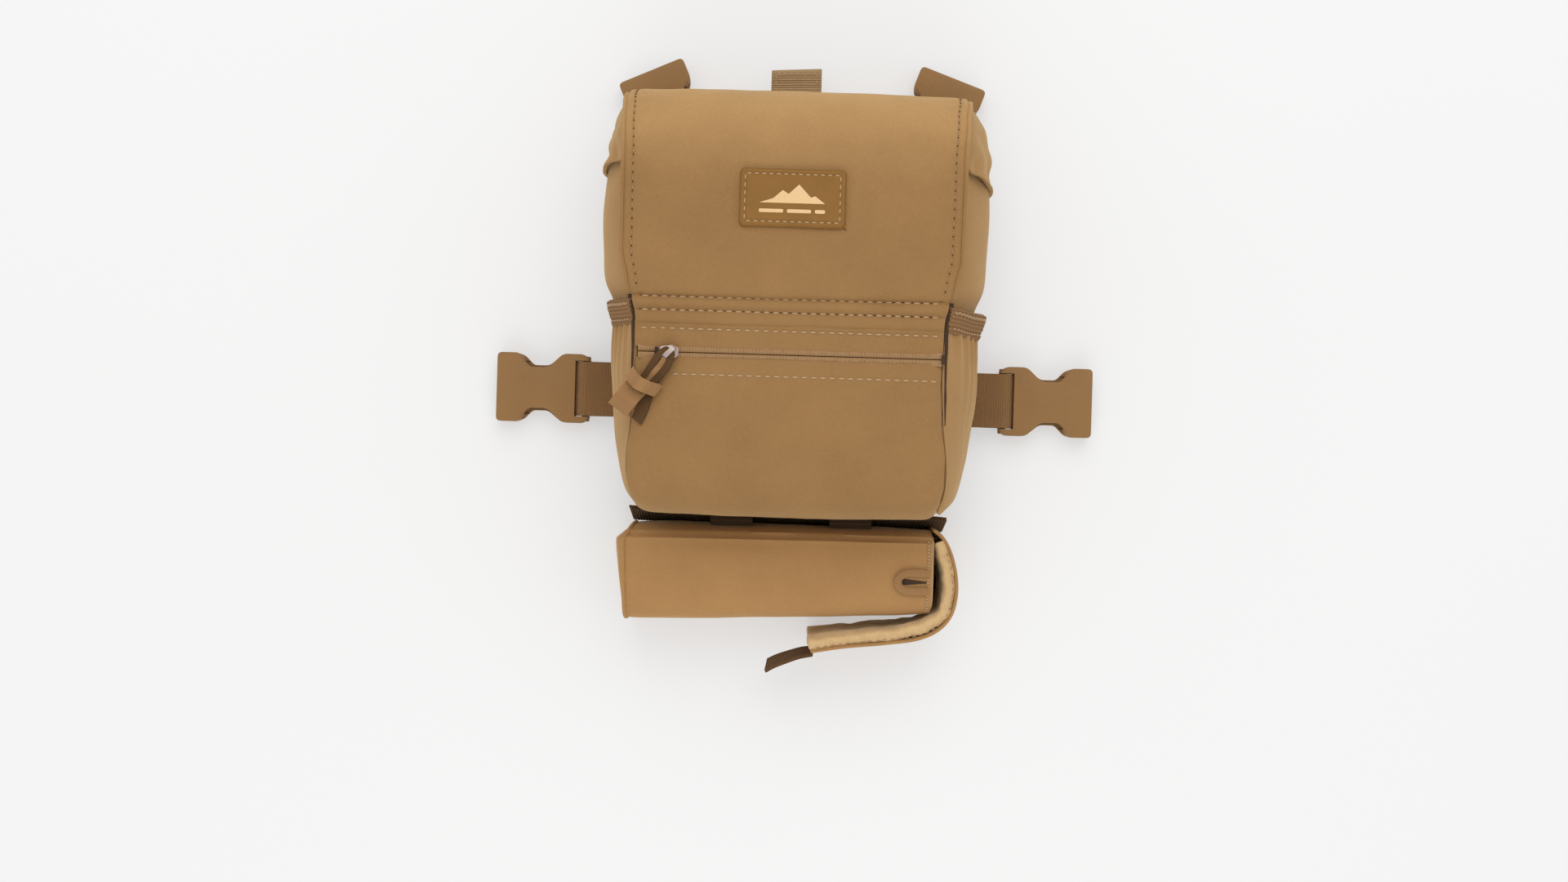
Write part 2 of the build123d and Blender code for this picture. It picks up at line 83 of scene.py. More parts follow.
class Route:
    """A smooth line through points, measured by the distance along it."""

    STEPS = 14

    def __init__(self, points, closed=False):
        points = [Vector(point) for point in points]
        count = len(points)
        self.samples = []
        for i in range(count if closed else count - 1):
            if closed:
                a, b, c, d = (points[(i + k) % count] for k in (-1, 0, 1, 2))
            else:
                a, b, c, d = (points[min(max(i + k, 0), count - 1)] for k in (-1, 0, 1, 2))
            for step in range(self.STEPS):
                self.samples.append(self.between(a, b, c, d, step / self.STEPS))
        self.samples.append(points[0] if closed else points[-1])
        self.marks = [0.0]
        for before, after in zip(self.samples, self.samples[1:]):
            self.marks.append(self.marks[-1] + (after - before).length)
        self.length = self.marks[-1]

    @staticmethod
    def between(a, b, c, d, t):
        """The point at share t from b to c of a curve that also heeds a and d."""
        linear = (c - a) * t
        square = (a * 2 - b * 5 + c * 4 - d) * t ** 2
        cube = (b * 3 - a - c * 3 + d) * t ** 3
        return b + (linear + square + cube) / 2

    def at(self, distance):
        """The point that far along; past either end the line runs straight on."""
        low, high = 0, len(self.marks) - 1
        while high - low > 1:
            middle = (low + high) // 2
            if self.marks[middle] <= distance:
                low = middle
            else:
                high = middle
        span = self.marks[high] - self.marks[low]
        share = (distance - self.marks[low]) / span
        return self.samples[low].lerp(self.samples[high], share)

    def ahead(self, distance):
        """The direction of the line there."""
        return (self.at(distance + 0.3) - self.at(distance - 0.3)).normalized()


def read(table, key):
    """A smooth value between the rows of a table of (key, value)."""
    if key <= table[0][0]:
        return table[0][1]
    if key >= table[-1][0]:
        return table[-1][1]
    for (k0, v0), (k1, v1) in zip(table, table[1:]):
        if key <= k1:
            share = (key - k0) / (k1 - k0)
            share = share * share * (3 - 2 * share)
            return v0 + (v1 - v0) * share


def bump(distance, width):
    """A rounded ridge of height 1 at distance 0."""
    return math.exp(-(distance / width) ** 2)


def crumple(x, y, scale, seed=0.0):
    """Soft unevenness between -1 and 1, the same on every run."""
    return noise.noise(Vector((x / scale, y / scale, seed)))


# ---------------------------------------------------------------- making meshes


def fresh(name):
    """The primitive that was just added, named."""
    piece = bpy.context.active_object
    piece.name = name
    piece.data.name = name
    return piece


def clear_selection():
    if bpy.context.mode != "OBJECT":
        bpy.ops.object.mode_set(mode="OBJECT")
    bpy.ops.object.select_all(action="DESELECT")


def pick(piece):
    clear_selection()
    piece.select_set(True)
    bpy.context.view_layer.objects.active = piece


def apply_modifier(piece, kind, **settings):
    """Adds a modifier and applies it."""
    pick(piece)
    modifier = piece.modifiers.new(kind.title(), kind)
    for name, value in settings.items():
        setattr(modifier, name, value)
    bpy.ops.object.modifier_apply(modifier=modifier.name)


def close_seam(piece):
    """Merges the two edges where a sheet has gone all the way round."""
    pick(piece)
    bpy.ops.object.mode_set(mode="EDIT")
    bpy.ops.mesh.select_all(action="SELECT")
    bpy.ops.mesh.remove_doubles(threshold=0.02 * MM)
    bpy.ops.object.mode_set(mode="OBJECT")


def turned_out(piece):
    """Makes a closed mesh's faces point outwards."""
    pick(piece)
    bpy.ops.object.mode_set(mode="EDIT")
    bpy.ops.mesh.select_all(action="SELECT")
    bpy.ops.mesh.normals_make_consistent(inside=False)
    bpy.ops.object.mode_set(mode="OBJECT")


def facing(piece):
    """The volume inside the faces, negative where they point inwards."""
    total = 0.0
    mesh = piece.data
    for face in mesh.polygons:
        corners = [mesh.vertices[i].co for i in face.vertices]
        for second, third in zip(corners[1:], corners[2:]):
            total += corners[0].dot(second.cross(third))
    return total


def smooth(piece, angle=50):
    pick(piece)
    bpy.ops.object.shade_smooth_by_angle(angle=math.radians(angle))


def cloth(name, shape, columns, rows, thick, extent, rounded=False):
    """A grid bent to shape(u, v) with a thickness behind its face, and a UV map in metres."""
    clear_selection()
    bpy.ops.mesh.primitive_grid_add(x_subdivisions=columns, y_subdivisions=rows, size=2)
    piece = fresh(name)
    for vertex in piece.data.vertices:
        vertex.co = shape((vertex.co.x + 1) / 2, (vertex.co.y + 1) / 2)
    for corner in piece.data.uv_layers.active.data:
        corner.uv = (corner.uv[0] * extent[0] * MM, corner.uv[1] * extent[1] * MM)
    if thick:
        apply_modifier(piece, "SOLIDIFY", thickness=thick * MM, offset=-1)
    if rounded:
        apply_modifier(piece, "SUBSURF", levels=1, render_levels=1)
    if thick and facing(piece) < 0:
        piece.data.flip_normals()
    smooth(piece)
    return piece


def ribbon(name, route, width, thick, flat, rib=0.0, rib_height=0.0, rows=10, step=0.9):
    """Webbing along a route of the frame's points in millimetres; flat is its way across."""
    columns = max(4, int(route.length / step))
    flat = Vector(flat).normalized()

    def shape(u, v):
        distance = u * route.length
        upward = route.ahead(distance).cross(flat)
        lift = rib_height * math.sin(math.tau * distance / rib) if rib else 0.0
        return at(*(route.at(distance) + flat * (v - 0.5) * width + upward * -lift))

    return cloth(name, shape, columns, rows, thick, (route.length, width))


def piping(name, points, radius):
    """A round edge cord through points of the frame."""
    clear_selection()
    bpy.ops.curve.primitive_nurbs_path_add()
    piece = fresh(name)
    curve = piece.data
    curve.splines.clear()
    spline = curve.splines.new("NURBS")
    spline.points.add(len(points) - 1)
    for target, point in zip(spline.points, points):
        target.co = (*point, 1.0)
    spline.order_u = 3
    spline.use_endpoint_u = True
    spline.resolution_u = 3
    curve.dimensions = "3D"
    curve.bevel_depth = radius * MM
    curve.bevel_resolution = 3
    curve.use_fill_caps = True
    pick(piece)
    bpy.ops.object.convert(target="MESH")
    piece = fresh(name)
    smooth(piece, 80)
    return piece


def plate(name, outline, low, high, edge=0.4, segments=2):
    """A flat piece with the given outline, in millimetres, with its edges rounded."""
    clear_selection()
    bpy.ops.mesh.primitive_circle_add(vertices=len(outline), fill_type="NGON")
    piece = fresh(name)
    for vertex, (x, y) in zip(piece.data.vertices, outline):
        vertex.co = (x * MM, y * MM, low * MM)
    bpy.ops.object.mode_set(mode="EDIT")
    bpy.ops.mesh.select_all(action="SELECT")
    lift = {"value": (0, 0, (high - low) * MM)}
    bpy.ops.mesh.extrude_region_move(TRANSFORM_OT_translate=lift)
    bpy.ops.object.mode_set(mode="OBJECT")
    turned_out(piece)
    if edge:
        apply_modifier(
            piece, "BEVEL", width=edge * MM, segments=segments, limit_method="ANGLE",
            angle_limit=0.6,
        )
    smooth(piece, 40)
    return piece


def rounded(points, radius):
    """A closed outline with each corner replaced by an arc of about the given radius."""
    made = []
    count = len(points)
    for i, corner in enumerate(points):
        corner = Vector(corner[:2])
        before = Vector(points[i - 1][:2]) - corner
        after = Vector(points[(i + 1) % count][:2]) - corner
        reach = min(radius, before.length * 0.45, after.length * 0.45)
        start = corner + before.normalized() * reach
        end = corner + after.normalized() * reach
        for step in range(5):
            t = step / 4
            made.append(start * (1 - t) ** 2 + corner * 2 * t * (1 - t) + end * t ** 2)
    return made


def brick(x0, x1, y0, y1, z0, z1):
    """A plain cutter between two corners, in millimetres."""
    clear_selection()
    middle = ((x0 + x1) / 2 * MM, (y0 + y1) / 2 * MM, (z0 + z1) / 2 * MM)
    bpy.ops.mesh.primitive_cube_add(size=1, location=middle)
    cutter = fresh("cutter")
    cutter.scale = ((x1 - x0) * MM, (y1 - y0) * MM, (z1 - z0) * MM)
    pick(cutter)
    bpy.ops.object.transform_apply(location=True, rotation=True, scale=True)
    return cutter


def cut(piece, *cutters):
    """Takes the cutters away from a piece."""
    for cutter in cutters:
        apply_modifier(piece, "BOOLEAN", operation="DIFFERENCE", solver="EXACT", object=cutter)
        bpy.data.objects.remove(cutter)


def join(name, pieces):
    """Several meshes as one piece."""
    pick(pieces[0])
    for other in pieces[1:]:
        other.select_set(True)
    bpy.ops.object.join()
    return fresh(name)


def place(piece, x, y, turn, z=0.0):
    """Turns a piece made at the origin, and moves it to its place, in its mesh."""
    matrix = Matrix.Translation(at(x, y, z)) @ Matrix.Rotation(math.radians(turn), 4, "Z")
    piece.data.transform(matrix)
    return piece


def touch(face, a, b):
    """A face's point at (a, b), and its outward direction there."""
    point = face(a, b)
    over = face(a + 0.4, b) - point
    up = face(a, b + 0.4) - point
    return point, over.cross(up).normalized()


def swell(piece, voxel, pressure, cap):
    """Blows a closed piece up like a stuffed pad, each point by no more than the cap."""
    apply_modifier(piece, "REMESH", mode="VOXEL", voxel_size=voxel * MM)
    rest = [vertex.co.copy() for vertex in piece.data.vertices]
    pick(piece)
    modifier = piece.modifiers.new("Cloth", "CLOTH")
    modifier.settings.use_pressure = True
    modifier.settings.uniform_pressure_force = pressure
    modifier.settings.effector_weights.gravity = 0
    modifier.settings.quality = 5
    modifier.collision_settings.use_collision = False
    for step in range(1, 21):
        bpy.context.scene.frame_set(step)
    bpy.ops.object.modifier_apply(modifier=modifier.name)
    bpy.context.scene.frame_set(1)
    for vertex, start in zip(piece.data.vertices, rest):
        move = vertex.co - start
        if move.length > cap * MM:
            vertex.co = start + move.normalized() * cap * MM


# ---------------------------------------------------------------- stitches

THREAD_RADIUS = 0.42
HOLE_RADIUS = 0.52


def bead(name):
    """One small closed bead that stitches are copied from."""
    clear_selection()
    bpy.ops.mesh.primitive_uv_sphere_add(segments=8, ring_count=5, radius=1)
    piece = fresh(name)
    points = [vertex.co.copy() for vertex in piece.data.vertices]
    faces = [tuple(face.vertices) for face in piece.data.polygons]
    bpy.data.objects.remove(piece)
    return points, faces


def walk(corners, pitch, dash):
    """Evenly spaced dashes, as pairs of ends, along a line through corners."""
    pairs = []
    for start, end in zip(corners, corners[1:]):
        start, end = Vector(start), Vector(end)
        length = (end - start).length
        count = max(1, round(length / pitch))
        step = (end - start) / count
        for i in range(count):
            first = start + step * (i + (1 - dash / pitch) / 2)
            pairs.append((first, first + step * (dash / pitch)))
    return pairs


def sew(name, face, pairs, body, holes=1.0, outward=1, radius=THREAD_RADIUS, thread="thread"):
    """Dashes of thread on a face, each with a dark bead before it that paints the shade in the
    needle's hole.
    """
    points, faces = bead(name)
    vertices, polygons, slots = [], [], []

    def copy_bead(middle, along, normal, sizes, slot):
        side = normal.cross(along).normalized()
        start = len(vertices)
        for p in points:
            offset = along * p.x * sizes[0] + side * p.y * sizes[1] + normal * p.z * sizes[2]
            vertices.append(middle + offset)
        for polygon in faces:
            polygons.append(tuple(start + i for i in polygon))
            slots.append(slot)

    for first, last in pairs:
        a, normal = touch(face, *first)
        b, _ = touch(face, *last)
        normal = normal * outward
        along = (b - a).normalized()
        half = (b - a).length / 2
        middle = (a + b) / 2 + normal * radius * 0.7 * MM
        copy_bead(middle, along, normal, (half, radius * MM, radius * 0.8 * MM), 0)
        if holes:
            spot = a - along * 0.55 * MM
            size = HOLE_RADIUS * holes * MM
            copy_bead(spot, along, normal, (size, size * 1.15, size * 0.35), 1)
    clear_selection()
    bpy.ops.mesh.primitive_plane_add(size=1)
    piece = fresh(name)
    piece.data.clear_geometry()
    piece.data.from_pydata(vertices, [], polygons)
    piece.data.materials.append(finish(thread))
    piece.data.materials.append(finish("needle_hole"))
    for polygon, slot in zip(piece.data.polygons, slots):
        polygon.material_index = slot
    smooth(piece, 80)
    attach(piece, body)
    return piece


# ---------------------------------------------------------------- finishes


class Wire:
    """A value that runs between shader nodes. Sums and products of wires add Math nodes."""

    def __init__(self, maker, socket):
        self.maker = maker
        self.socket = socket

    def __add__(self, other):
        return self.maker.maths("ADD", self, other)

    def __radd__(self, other):
        return self.maker.maths("ADD", other, self)

    def __sub__(self, other):
        return self.maker.maths("SUBTRACT", self, other)

    def __rsub__(self, other):
        return self.maker.maths("SUBTRACT", other, self)

    def __mul__(self, other):
        return self.maker.maths("MULTIPLY", self, other)

    def __rmul__(self, other):
        return self.maker.maths("MULTIPLY", other, self)

    def __truediv__(self, other):
        return self.maker.maths("DIVIDE", self, other)

    def __pow__(self, other):
        return self.maker.maths("POWER", self, other)


class Maker:
    """Builds one material out of shader nodes."""

    def __init__(self, name):
        self.material = bpy.data.materials.new(name)
        self.material.use_nodes = True
        self.tree = self.material.node_tree
        self.shader = self.tree.nodes["Principled BSDF"]

    def node(self, kind, settings=None, inputs=None, output=0):
        """Adds a node: its own settings first, then what its sockets hold or are fed by."""
        made = self.tree.nodes.new("ShaderNode" + kind)
        for name, value in (settings or {}).items():
            setattr(made, name, value)
        for name, value in (inputs or {}).items():
            self.feed(made.inputs[name], value)
        return Wire(self, made.outputs[output])

    def feed(self, socket, value):
        if isinstance(value, Wire):
            self.tree.links.new(value.socket, socket)
        else:
            socket.default_value = value

    def maths(self, operation, first, second=0.0):
        return self.node("Math", {"operation": operation}, {0: first, 1: second})

    def mix(self, share, first, second):
        """A colour between two colours."""
        return self.node("Mix", {"data_type": "RGBA"}, {0: share, 6: first, 7: second}, 2)

    def place(self):
        return self.node("TexCoord", output="Object")

    def chart(self):
        return self.node("TexCoord", output="UV")

    def cloudy(self, size, vector=None, detail=2.0, rough=0.5):
        """Noise with features of about the given size in millimetres, from 0 to 1."""
        inputs = {
            "Vector": vector or self.place(),
            "Scale": 1 / (size * MM),
            "Detail": detail,
            "Roughness": rough,
        }
        return self.node("TexNoise", None, inputs)

    def stripes(self, size, direction, vector=None, distortion=0.0):
        """Even bands with the given pitch in millimetres, from 0 to 1."""
        settings = {"wave_type": "BANDS", "bands_direction": direction, "wave_profile": "SIN"}
        pitch_per_scale = math.tau / 20
        inputs = {
            "Vector": vector or self.chart(),
            "Scale": pitch_per_scale / (size * MM),
            "Distortion": distortion,
        }
        return self.node("TexWave", settings, inputs, 1)

    def raised(self, height, depth):
        """A normal from a height from 0 to 1, that deep in millimetres."""
        inputs = {"Height": height, "Distance": depth * MM, "Strength": 1.0}
        return self.node("Bump", None, inputs)

    def give(self, **sockets):
        """Sets or feeds the shader's sockets, whose names have underscores for spaces."""
        for name, value in sockets.items():
            self.feed(self.shader.inputs[name.replace("_", " ")], value)


def tint(colour, factor, warm=1.0):
    """A colour made lighter or darker, with an alpha of 1."""
    red, green, blue = colour[:3]
    return (red * factor * warm, green * factor, blue * factor / warm, 1.0)


def woven(maker, colour, grain=0.8, patch=26.0, depth=0.12, spread=0.16, painted_highlight_span=None):
    """Close-woven, lightly brushed cloth, with an optional painted highlight over a span of
    heights.
    """
    fine = maker.cloudy(grain, detail=3.0, rough=0.7)
    broad = maker.cloudy(patch, detail=3.0)
    fibre = maker.cloudy(grain * 3.2, detail=4.0, rough=0.8)
    tone = (fine - 0.5) * 0.9 + (broad - 0.5) * 0.9 + (fibre - 0.5) * 0.5 + 0.5
    dark = tint(colour, 1 - spread, 1.02)
    light = tint(colour, 1 + spread, 0.99)
    over = maker.stripes(0.62, "X", maker.place(), 2.0)
    under = maker.stripes(0.62, "Y", maker.place(), 2.0)
    height = over * under * 0.6 + fine * 0.8
    shade = maker.mix(tone, dark, light)
    # Painted highlight: over the given span of Y the cloth is lightened 1.5 times and warmed, for
    # the light on the lid's rounded top.
    if painted_highlight_span:
        up = maker.node("SeparateXYZ", None, {0: maker.place()}, output="Y")
        share = maker.node(
            "MapRange", {"interpolation_type": "SMOOTHSTEP"}, {0: up, 1: painted_highlight_span[0], 2: painted_highlight_span[1]}
        )
        wear_and_highlight = maker.mix(tone, tint(dark, 1.5, 0.95), tint(light, 1.5, 0.95))
        shade = maker.mix(share, shade, wear_and_highlight)
    maker.give(
        Base_Color=shade,
        Roughness=0.88,
        Sheen_Weight=0.35,
        Sheen_Roughness=0.4,
        Sheen_Tint=(1.0, 0.8, 0.45, 1.0),
        Specular_IOR_Level=0.08,
        Normal=maker.raised(height, depth),
    )


def face_fabric(maker, tones):
    woven(maker, tones.face)


# The lid's fabric carries a painted highlight from 84 to 124 mm up, where its top rolls over
# toward the light.
def lid_fabric(maker, tones):
    woven(maker, tones.face, painted_highlight_span=(BASE_Y + 84 * MM, BASE_Y + 124 * MM))


def side_fabric(maker, tones):
    woven(maker, tint(tones.face, 1.18, 1.0), grain=0.7, depth=0.10, spread=0.14)


def case_fabric(maker, tones):
    woven(maker, tint(tones.face, 1.3, 1.0), grain=0.9, spread=0.12)


def ribbed_webbing(maker, colour, pitch, depth=0.25, spread=0.42, edge=0.25):
    """Webbing whose ribs run across it, with the warp showing as fine broken lines."""
    ribs = maker.stripes(pitch, "X")
    warp = maker.stripes(0.9, "Y", distortion=1.5)
    speck = maker.cloudy(0.7, detail=3.0, rough=0.8)
    wear_and_highlight = maker.cloudy(9.0, detail=2.0)
    tone = ribs * 0.55 + warp * 0.2 + (speck - 0.5) * 0.8 + (wear_and_highlight - 0.5) * edge + 0.1
    maker.give(
        Base_Color=maker.mix(tone, tint(colour, 1 - spread), tint(colour, 1 + spread * 0.6)),
        Roughness=0.8,
        Sheen_Weight=0.1,
        Sheen_Tint=(1.0, 0.8, 0.5, 1.0),
        Specular_IOR_Level=0.12,
        Normal=maker.raised(ribs * 0.7 + warp * 0.3, depth),
    )


def webbing(maker, tones):
    ribbed_webbing(maker, tones.webbing, 1.05)


def tab_webbing(maker, tones):
    ribbed_webbing(maker, tint(tones.webbing, 2.0, 0.8), 1.15, spread=0.35)


def dark_webbing(maker, tones):
    ribbed_webbing(maker, tones.dark, 1.2, spread=0.5)


# Painted shade: the case's straps are half as light as the dark webbing, for the shade of the gap
# they hang in.
def shaded_strap_webbing(maker, tones):
    ribbed_webbing(maker, tint(tones.dark, 0.5), 1.3, spread=0.35)


# Painted shade: the band is dark webbing for the shade of the deep gap under the pocket.
def shaded_band_webbing(maker, tones):
    ribbed_webbing(maker, tint(tones.dark, 1.2), 1.4, spread=0.35)


def pull_ribbon(maker, tones):
    ribbed_webbing(maker, tint(tones.webbing, 1.4), 0.8, depth=0.15, spread=0.25)


def pull_dark(maker, tones):
    ribbed_webbing(maker, tint(tones.dark, 1.6), 0.9, depth=0.18, spread=0.55)


def elastic(maker, tones):
    ribs = maker.stripes(1.5, "Y")
    threads = maker.stripes(0.8, "X", distortion=1.0)
    speck = maker.cloudy(0.6, detail=3.0, rough=0.8)
    tone = ribs * 0.5 + threads * 0.25 + (speck - 0.5) * 0.5 + 0.15
    colour = tones.webbing
    maker.give(
        Base_Color=maker.mix(tone, tint(colour, 0.66, 1.06), tint(colour, 1.2, 1.06)),
        Roughness=0.82,
        Sheen_Weight=0.1,
        Sheen_Tint=(1.0, 0.8, 0.5, 1.0),
        Specular_IOR_Level=0.12,
        Normal=maker.raised(ribs * 0.6 + threads * 0.4, 0.25),
    )


def fleece(maker, tones):
    curl = maker.cloudy(1.1, detail=5.0, rough=0.75)
    tuft = maker.cloudy(3.6, detail=3.0)
    tone = (curl - 0.5) * 1.3 + (tuft - 0.5) * 0.8 + 0.5
    maker.give(
        Base_Color=maker.mix(tone, tint(tones.fleece, 0.8), tint(tones.fleece, 1.14)),
        Roughness=0.96,
        Sheen_Weight=0.45,
        Sheen_Tint=(1.0, 0.85, 0.6, 1.0),
        Sheen_Roughness=0.6,
        Specular_IOR_Level=0.15,
        Normal=maker.raised(curl * 0.7 + tuft * 0.5, 0.6),
    )


def main_lining(maker, tones):
    woven(maker, tint(tones.fleece, 0.55), grain=1.1, depth=0.25, spread=0.2)


def spacer_mesh(maker, tones):
    """Open mesh: rows of small holes, painted dark for the shade inside them, with raised threads
    round them.
    """
    holes = maker.node(
        "TexVoronoi",
        {"feature": "DISTANCE_TO_EDGE"},
        {"Vector": maker.place(), "Scale": 1 / (2.6 * MM), "Randomness": 0.25},
    )
    rim = maker.node("MapRange", None, {0: holes, 1: 0.08, 2: 0.3, 3: 1.0, 4: 0.0})
    speck = maker.cloudy(0.8, detail=3.0)
    colour = tones.webbing
    # The holes' darkness is painted shade.
    tone = rim * 0.8 + (speck - 0.5) * 0.4 + 0.1
    maker.give(
        Base_Color=maker.mix(tone, tint(colour, 0.3), tint(colour, 1.0)),
        Roughness=0.9,
        Sheen_Weight=0.1,
        Normal=maker.raised(rim, 0.7),
    )


def buckle_plastic(maker, tones):
    grain = maker.cloudy(0.75, detail=2.0, rough=0.6)
    speck = maker.cloudy(1.6, detail=3.0, rough=0.7)
    rub = maker.cloudy(14.0, detail=3.0)
    tone = (grain - 0.5) * 0.5 + (speck - 0.5) * 0.6 + (rub - 0.5) * 0.8 + 0.5
    maker.give(
        Base_Color=maker.mix(tone, tint(tones.plastic, 0.88), tint(tones.plastic, 1.12)),
        Roughness=0.42 + rub * 0.16,
        Specular_IOR_Level=0.22,
        Normal=maker.raised(grain, 0.12),
    )


def patch_leather(maker, tones):
    pores = maker.cloudy(0.9, detail=3.0, rough=0.6)
    soft = maker.cloudy(9.0, detail=3.0)
    tone = (pores - 0.5) * 0.6 + (soft - 0.5) * 0.8 + 0.5
    maker.give(
        Base_Color=maker.mix(tone, tint(tones.patch, 0.86), tint(tones.patch, 1.12)),
        Roughness=0.66,
        Specular_IOR_Level=0.15,
        Normal=maker.raised(pores, 0.14),
    )


def patch_mark(maker, tones):
    pores = maker.cloudy(0.8, detail=3.0)
    tone = (pores - 0.5) * 0.8 + 0.5
    colour = tones.fleece
    maker.give(
        Base_Color=maker.mix(tone, tint(colour, 1.0), tint(colour, 1.25)),
        Roughness=0.6,
        Normal=maker.raised(pores, 0.1),
    )


def thread(maker, tones):
    twist = maker.cloudy(0.5, detail=2.0)
    colour = tones.thread
    maker.give(
        Base_Color=maker.mix(twist, tint(colour, 0.85), tint(colour, 1.12)),
        Roughness=0.6,
        Sheen_Weight=0.2,
        Normal=maker.raised(twist, 0.15),
    )


def brown_thread(maker, tones):
    twist = maker.cloudy(0.5, detail=2.0)
    colour = tones.face
    maker.give(
        Base_Color=maker.mix(twist, tint(colour, 0.8), tint(colour, 1.25)),
        Roughness=0.6,
        Sheen_Weight=0.2,
        Normal=maker.raised(twist, 0.15),
    )


# Painted shade: a dark bead for the shadow inside each needle hole.
def needle_hole(maker, tones):
    speck = maker.cloudy(0.6)
    maker.give(
        Base_Color=maker.mix(speck, tint(tones.face, 0.18), tint(tones.face, 0.34)),
        Roughness=0.95,
        Specular_IOR_Level=0.1,
    )


def zip_metal(maker, tones):
    scratch = maker.cloudy(0.5, detail=3.0, rough=0.7)
    cloud = maker.cloudy(4.0)
    maker.give(
        Base_Color=maker.mix(cloud, (0.42, 0.33, 0.29, 1), (0.55, 0.45, 0.41, 1)),
        Metallic=0.75,
        Roughness=0.34 + scratch * 0.2,
        Normal=maker.raised(scratch, 0.03),
    )


def zip_coil(maker, tones):
    speck = maker.cloudy(0.8, detail=3.0)
    maker.give(
        Base_Color=maker.mix(speck, tint(tones.face, 0.92), tint(tones.face, 1.16)),
        Roughness=0.6,
        Normal=maker.raised(speck, 0.08),
    )


# Near-black cloth: painted shade on the seam tapes, the zip's core, the tongue in the case's mouth
# and the plate under the case's loop; also the colour of the zip stops and band tacks inside.
def seam_dark(maker, tones):
    speck = maker.cloudy(0.9, detail=3.0, rough=0.8)
    maker.give(
        Base_Color=maker.mix(speck, tint(tones.dark, 0.35), tint(tones.dark, 0.9)),
        Roughness=0.9,
        Normal=maker.raised(speck, 0.2),
    )


def stiff_sheet(maker, tones):
    speck = maker.cloudy(1.2, detail=3.0)
    maker.give(
        Base_Color=maker.mix(speck, (0.035, 0.035, 0.037, 1), (0.06, 0.06, 0.062, 1)),
        Roughness=0.5,
        Normal=maker.raised(speck, 0.1),
    )


def magnet_steel(maker, tones):
    brushed = maker.cloudy(0.7, detail=3.0)
    maker.give(
        Base_Color=maker.mix(brushed, (0.5, 0.5, 0.5, 1), (0.64, 0.64, 0.64, 1)),
        Metallic=1.0,
        Roughness=0.3 + brushed * 0.15,
    )


def floor_paper(maker, tones):
    cloud = maker.cloudy(400.0, detail=2.0)
    maker.give(
        Base_Color=maker.mix(cloud, (0.42, 0.42, 0.42, 1), (0.44, 0.44, 0.44, 1)),
        Roughness=0.9,
        Specular_IOR_Level=0.1,
        Emission_Color=maker.mix(cloud, (1.0, 1.0, 1.0, 1), (0.99, 0.99, 0.99, 1)),
        Emission_Strength=0.44,
    )


FINISHES = {
    maker.__name__: maker
    for maker in (
        face_fabric, lid_fabric, side_fabric, case_fabric, webbing, tab_webbing, dark_webbing,
        shaded_strap_webbing, shaded_band_webbing, pull_ribbon, pull_dark, elastic, fleece, main_lining,
        spacer_mesh, buckle_plastic, patch_leather,
        patch_mark, thread, brown_thread, needle_hole, zip_metal, zip_coil, seam_dark,
        stiff_sheet, magnet_steel, floor_paper,
    )
}


def finish(name):
    """The material of that name, made the first time that it is asked for."""
    full_name = "pack_" + name
    made = bpy.data.materials.get(full_name)
    if made is None:
        maker = Maker(full_name)
        FINISHES[name](maker, bpy.context.scene.pack_tones)
        made = maker.material
    return made


def dress(piece, body, material, stands_for=()):
    """Gives a piece its finish, the body it moves with and the CAD nodes it stands for."""
    piece.data.materials.clear()
    piece.data.materials.append(finish(material))
    if body:
        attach(piece, body)
    if stands_for:
        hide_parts(*stands_for)
    return piece


# ---------------------------------------------------------------- lid

# The middle of the lid's outer face, from its fold over the top to the pack's back, as (y, z)
LID_LINE = Route([
    (38.2, 84.8), (42, 85.7), (54, 85.6), (72, 84.6), (90, 83.4), (104, 81.6), (115, 78),
    (124, 71),
    (130.2, 61), (133.2, 49), (133.6, 36), (132.4, 23), (130.6, 12.4),
])
# Half the lid's width by the distance along that line
LID_HALF = [
    (0, 68.5), (6, 70.4), (20, 73.0), (60, 73.6), (84, 74.6), (100, 75.6), (130, 77.4), (150, 78),
]
LID_SEAM_IN = 3.9
LID_THICK = 2.4
STITCH_PITCH = 4.0
STITCH_DASH = 2.9


def lid_half(s):
    return read(LID_HALF, s)


def lid_face(x, s):
    """The lid's outer face, x across and s along it."""
    y, z = LID_LINE.at(s)
    ahead = LID_LINE.ahead(s)
    edge = lid_half(s) - abs(x)
    lift = 1.3 * (1 - (x / 78) ** 2)
    lift -= 1.7 * math.exp(-max(edge, 0) / 1.3)
    lift += 0.45 * bump(edge - 1.9, 1.0)
    if s < 118:
        pull = 0.75 + 0.35 * math.cos(math.tau * s / STITCH_PITCH)
        lift -= 0.75 * pull * bump(edge - LID_SEAM_IN, 0.8)
        lift += 0.22 * math.cos(math.tau * s / 7.7 + crumple(s, 0, 9)) * bump(edge - 7.5, 3.4)
    lift -= 1.3 * math.exp(-s / 1.3)
    lift += 0.5 * crumple(x, s, 34, 1.0) + 0.22 * crumple(x, s * 1.4, 13, 2.0)
    lift -= patch_dent(x, s)
    return at(leaning(x, z), y - ahead.y * lift, z + ahead.x * lift)


PATCH_X, PATCH_Y = -3.5, 81.7
PATCH_WIDE, PATCH_HIGH, PATCH_TALL = 46.0, 25.6, 1.7


def lid_reach(y):
    """The distance along the lid's line at which it comes to a given y on the front."""
    s = 0.0
    while LID_LINE.at(s).x < y:
        s += 0.25
    return s


PATCH_S = lid_reach(PATCH_Y)


def patch_dent(x, s):
    """The lid is drawn in along the patch's stitched edge."""
    over = abs(x - PATCH_X - 3.0) - PATCH_WIDE / 2
    up = abs(s - PATCH_S) - PATCH_HIGH / 2
    return 0.75 * bump(max(over, up), 1.6)


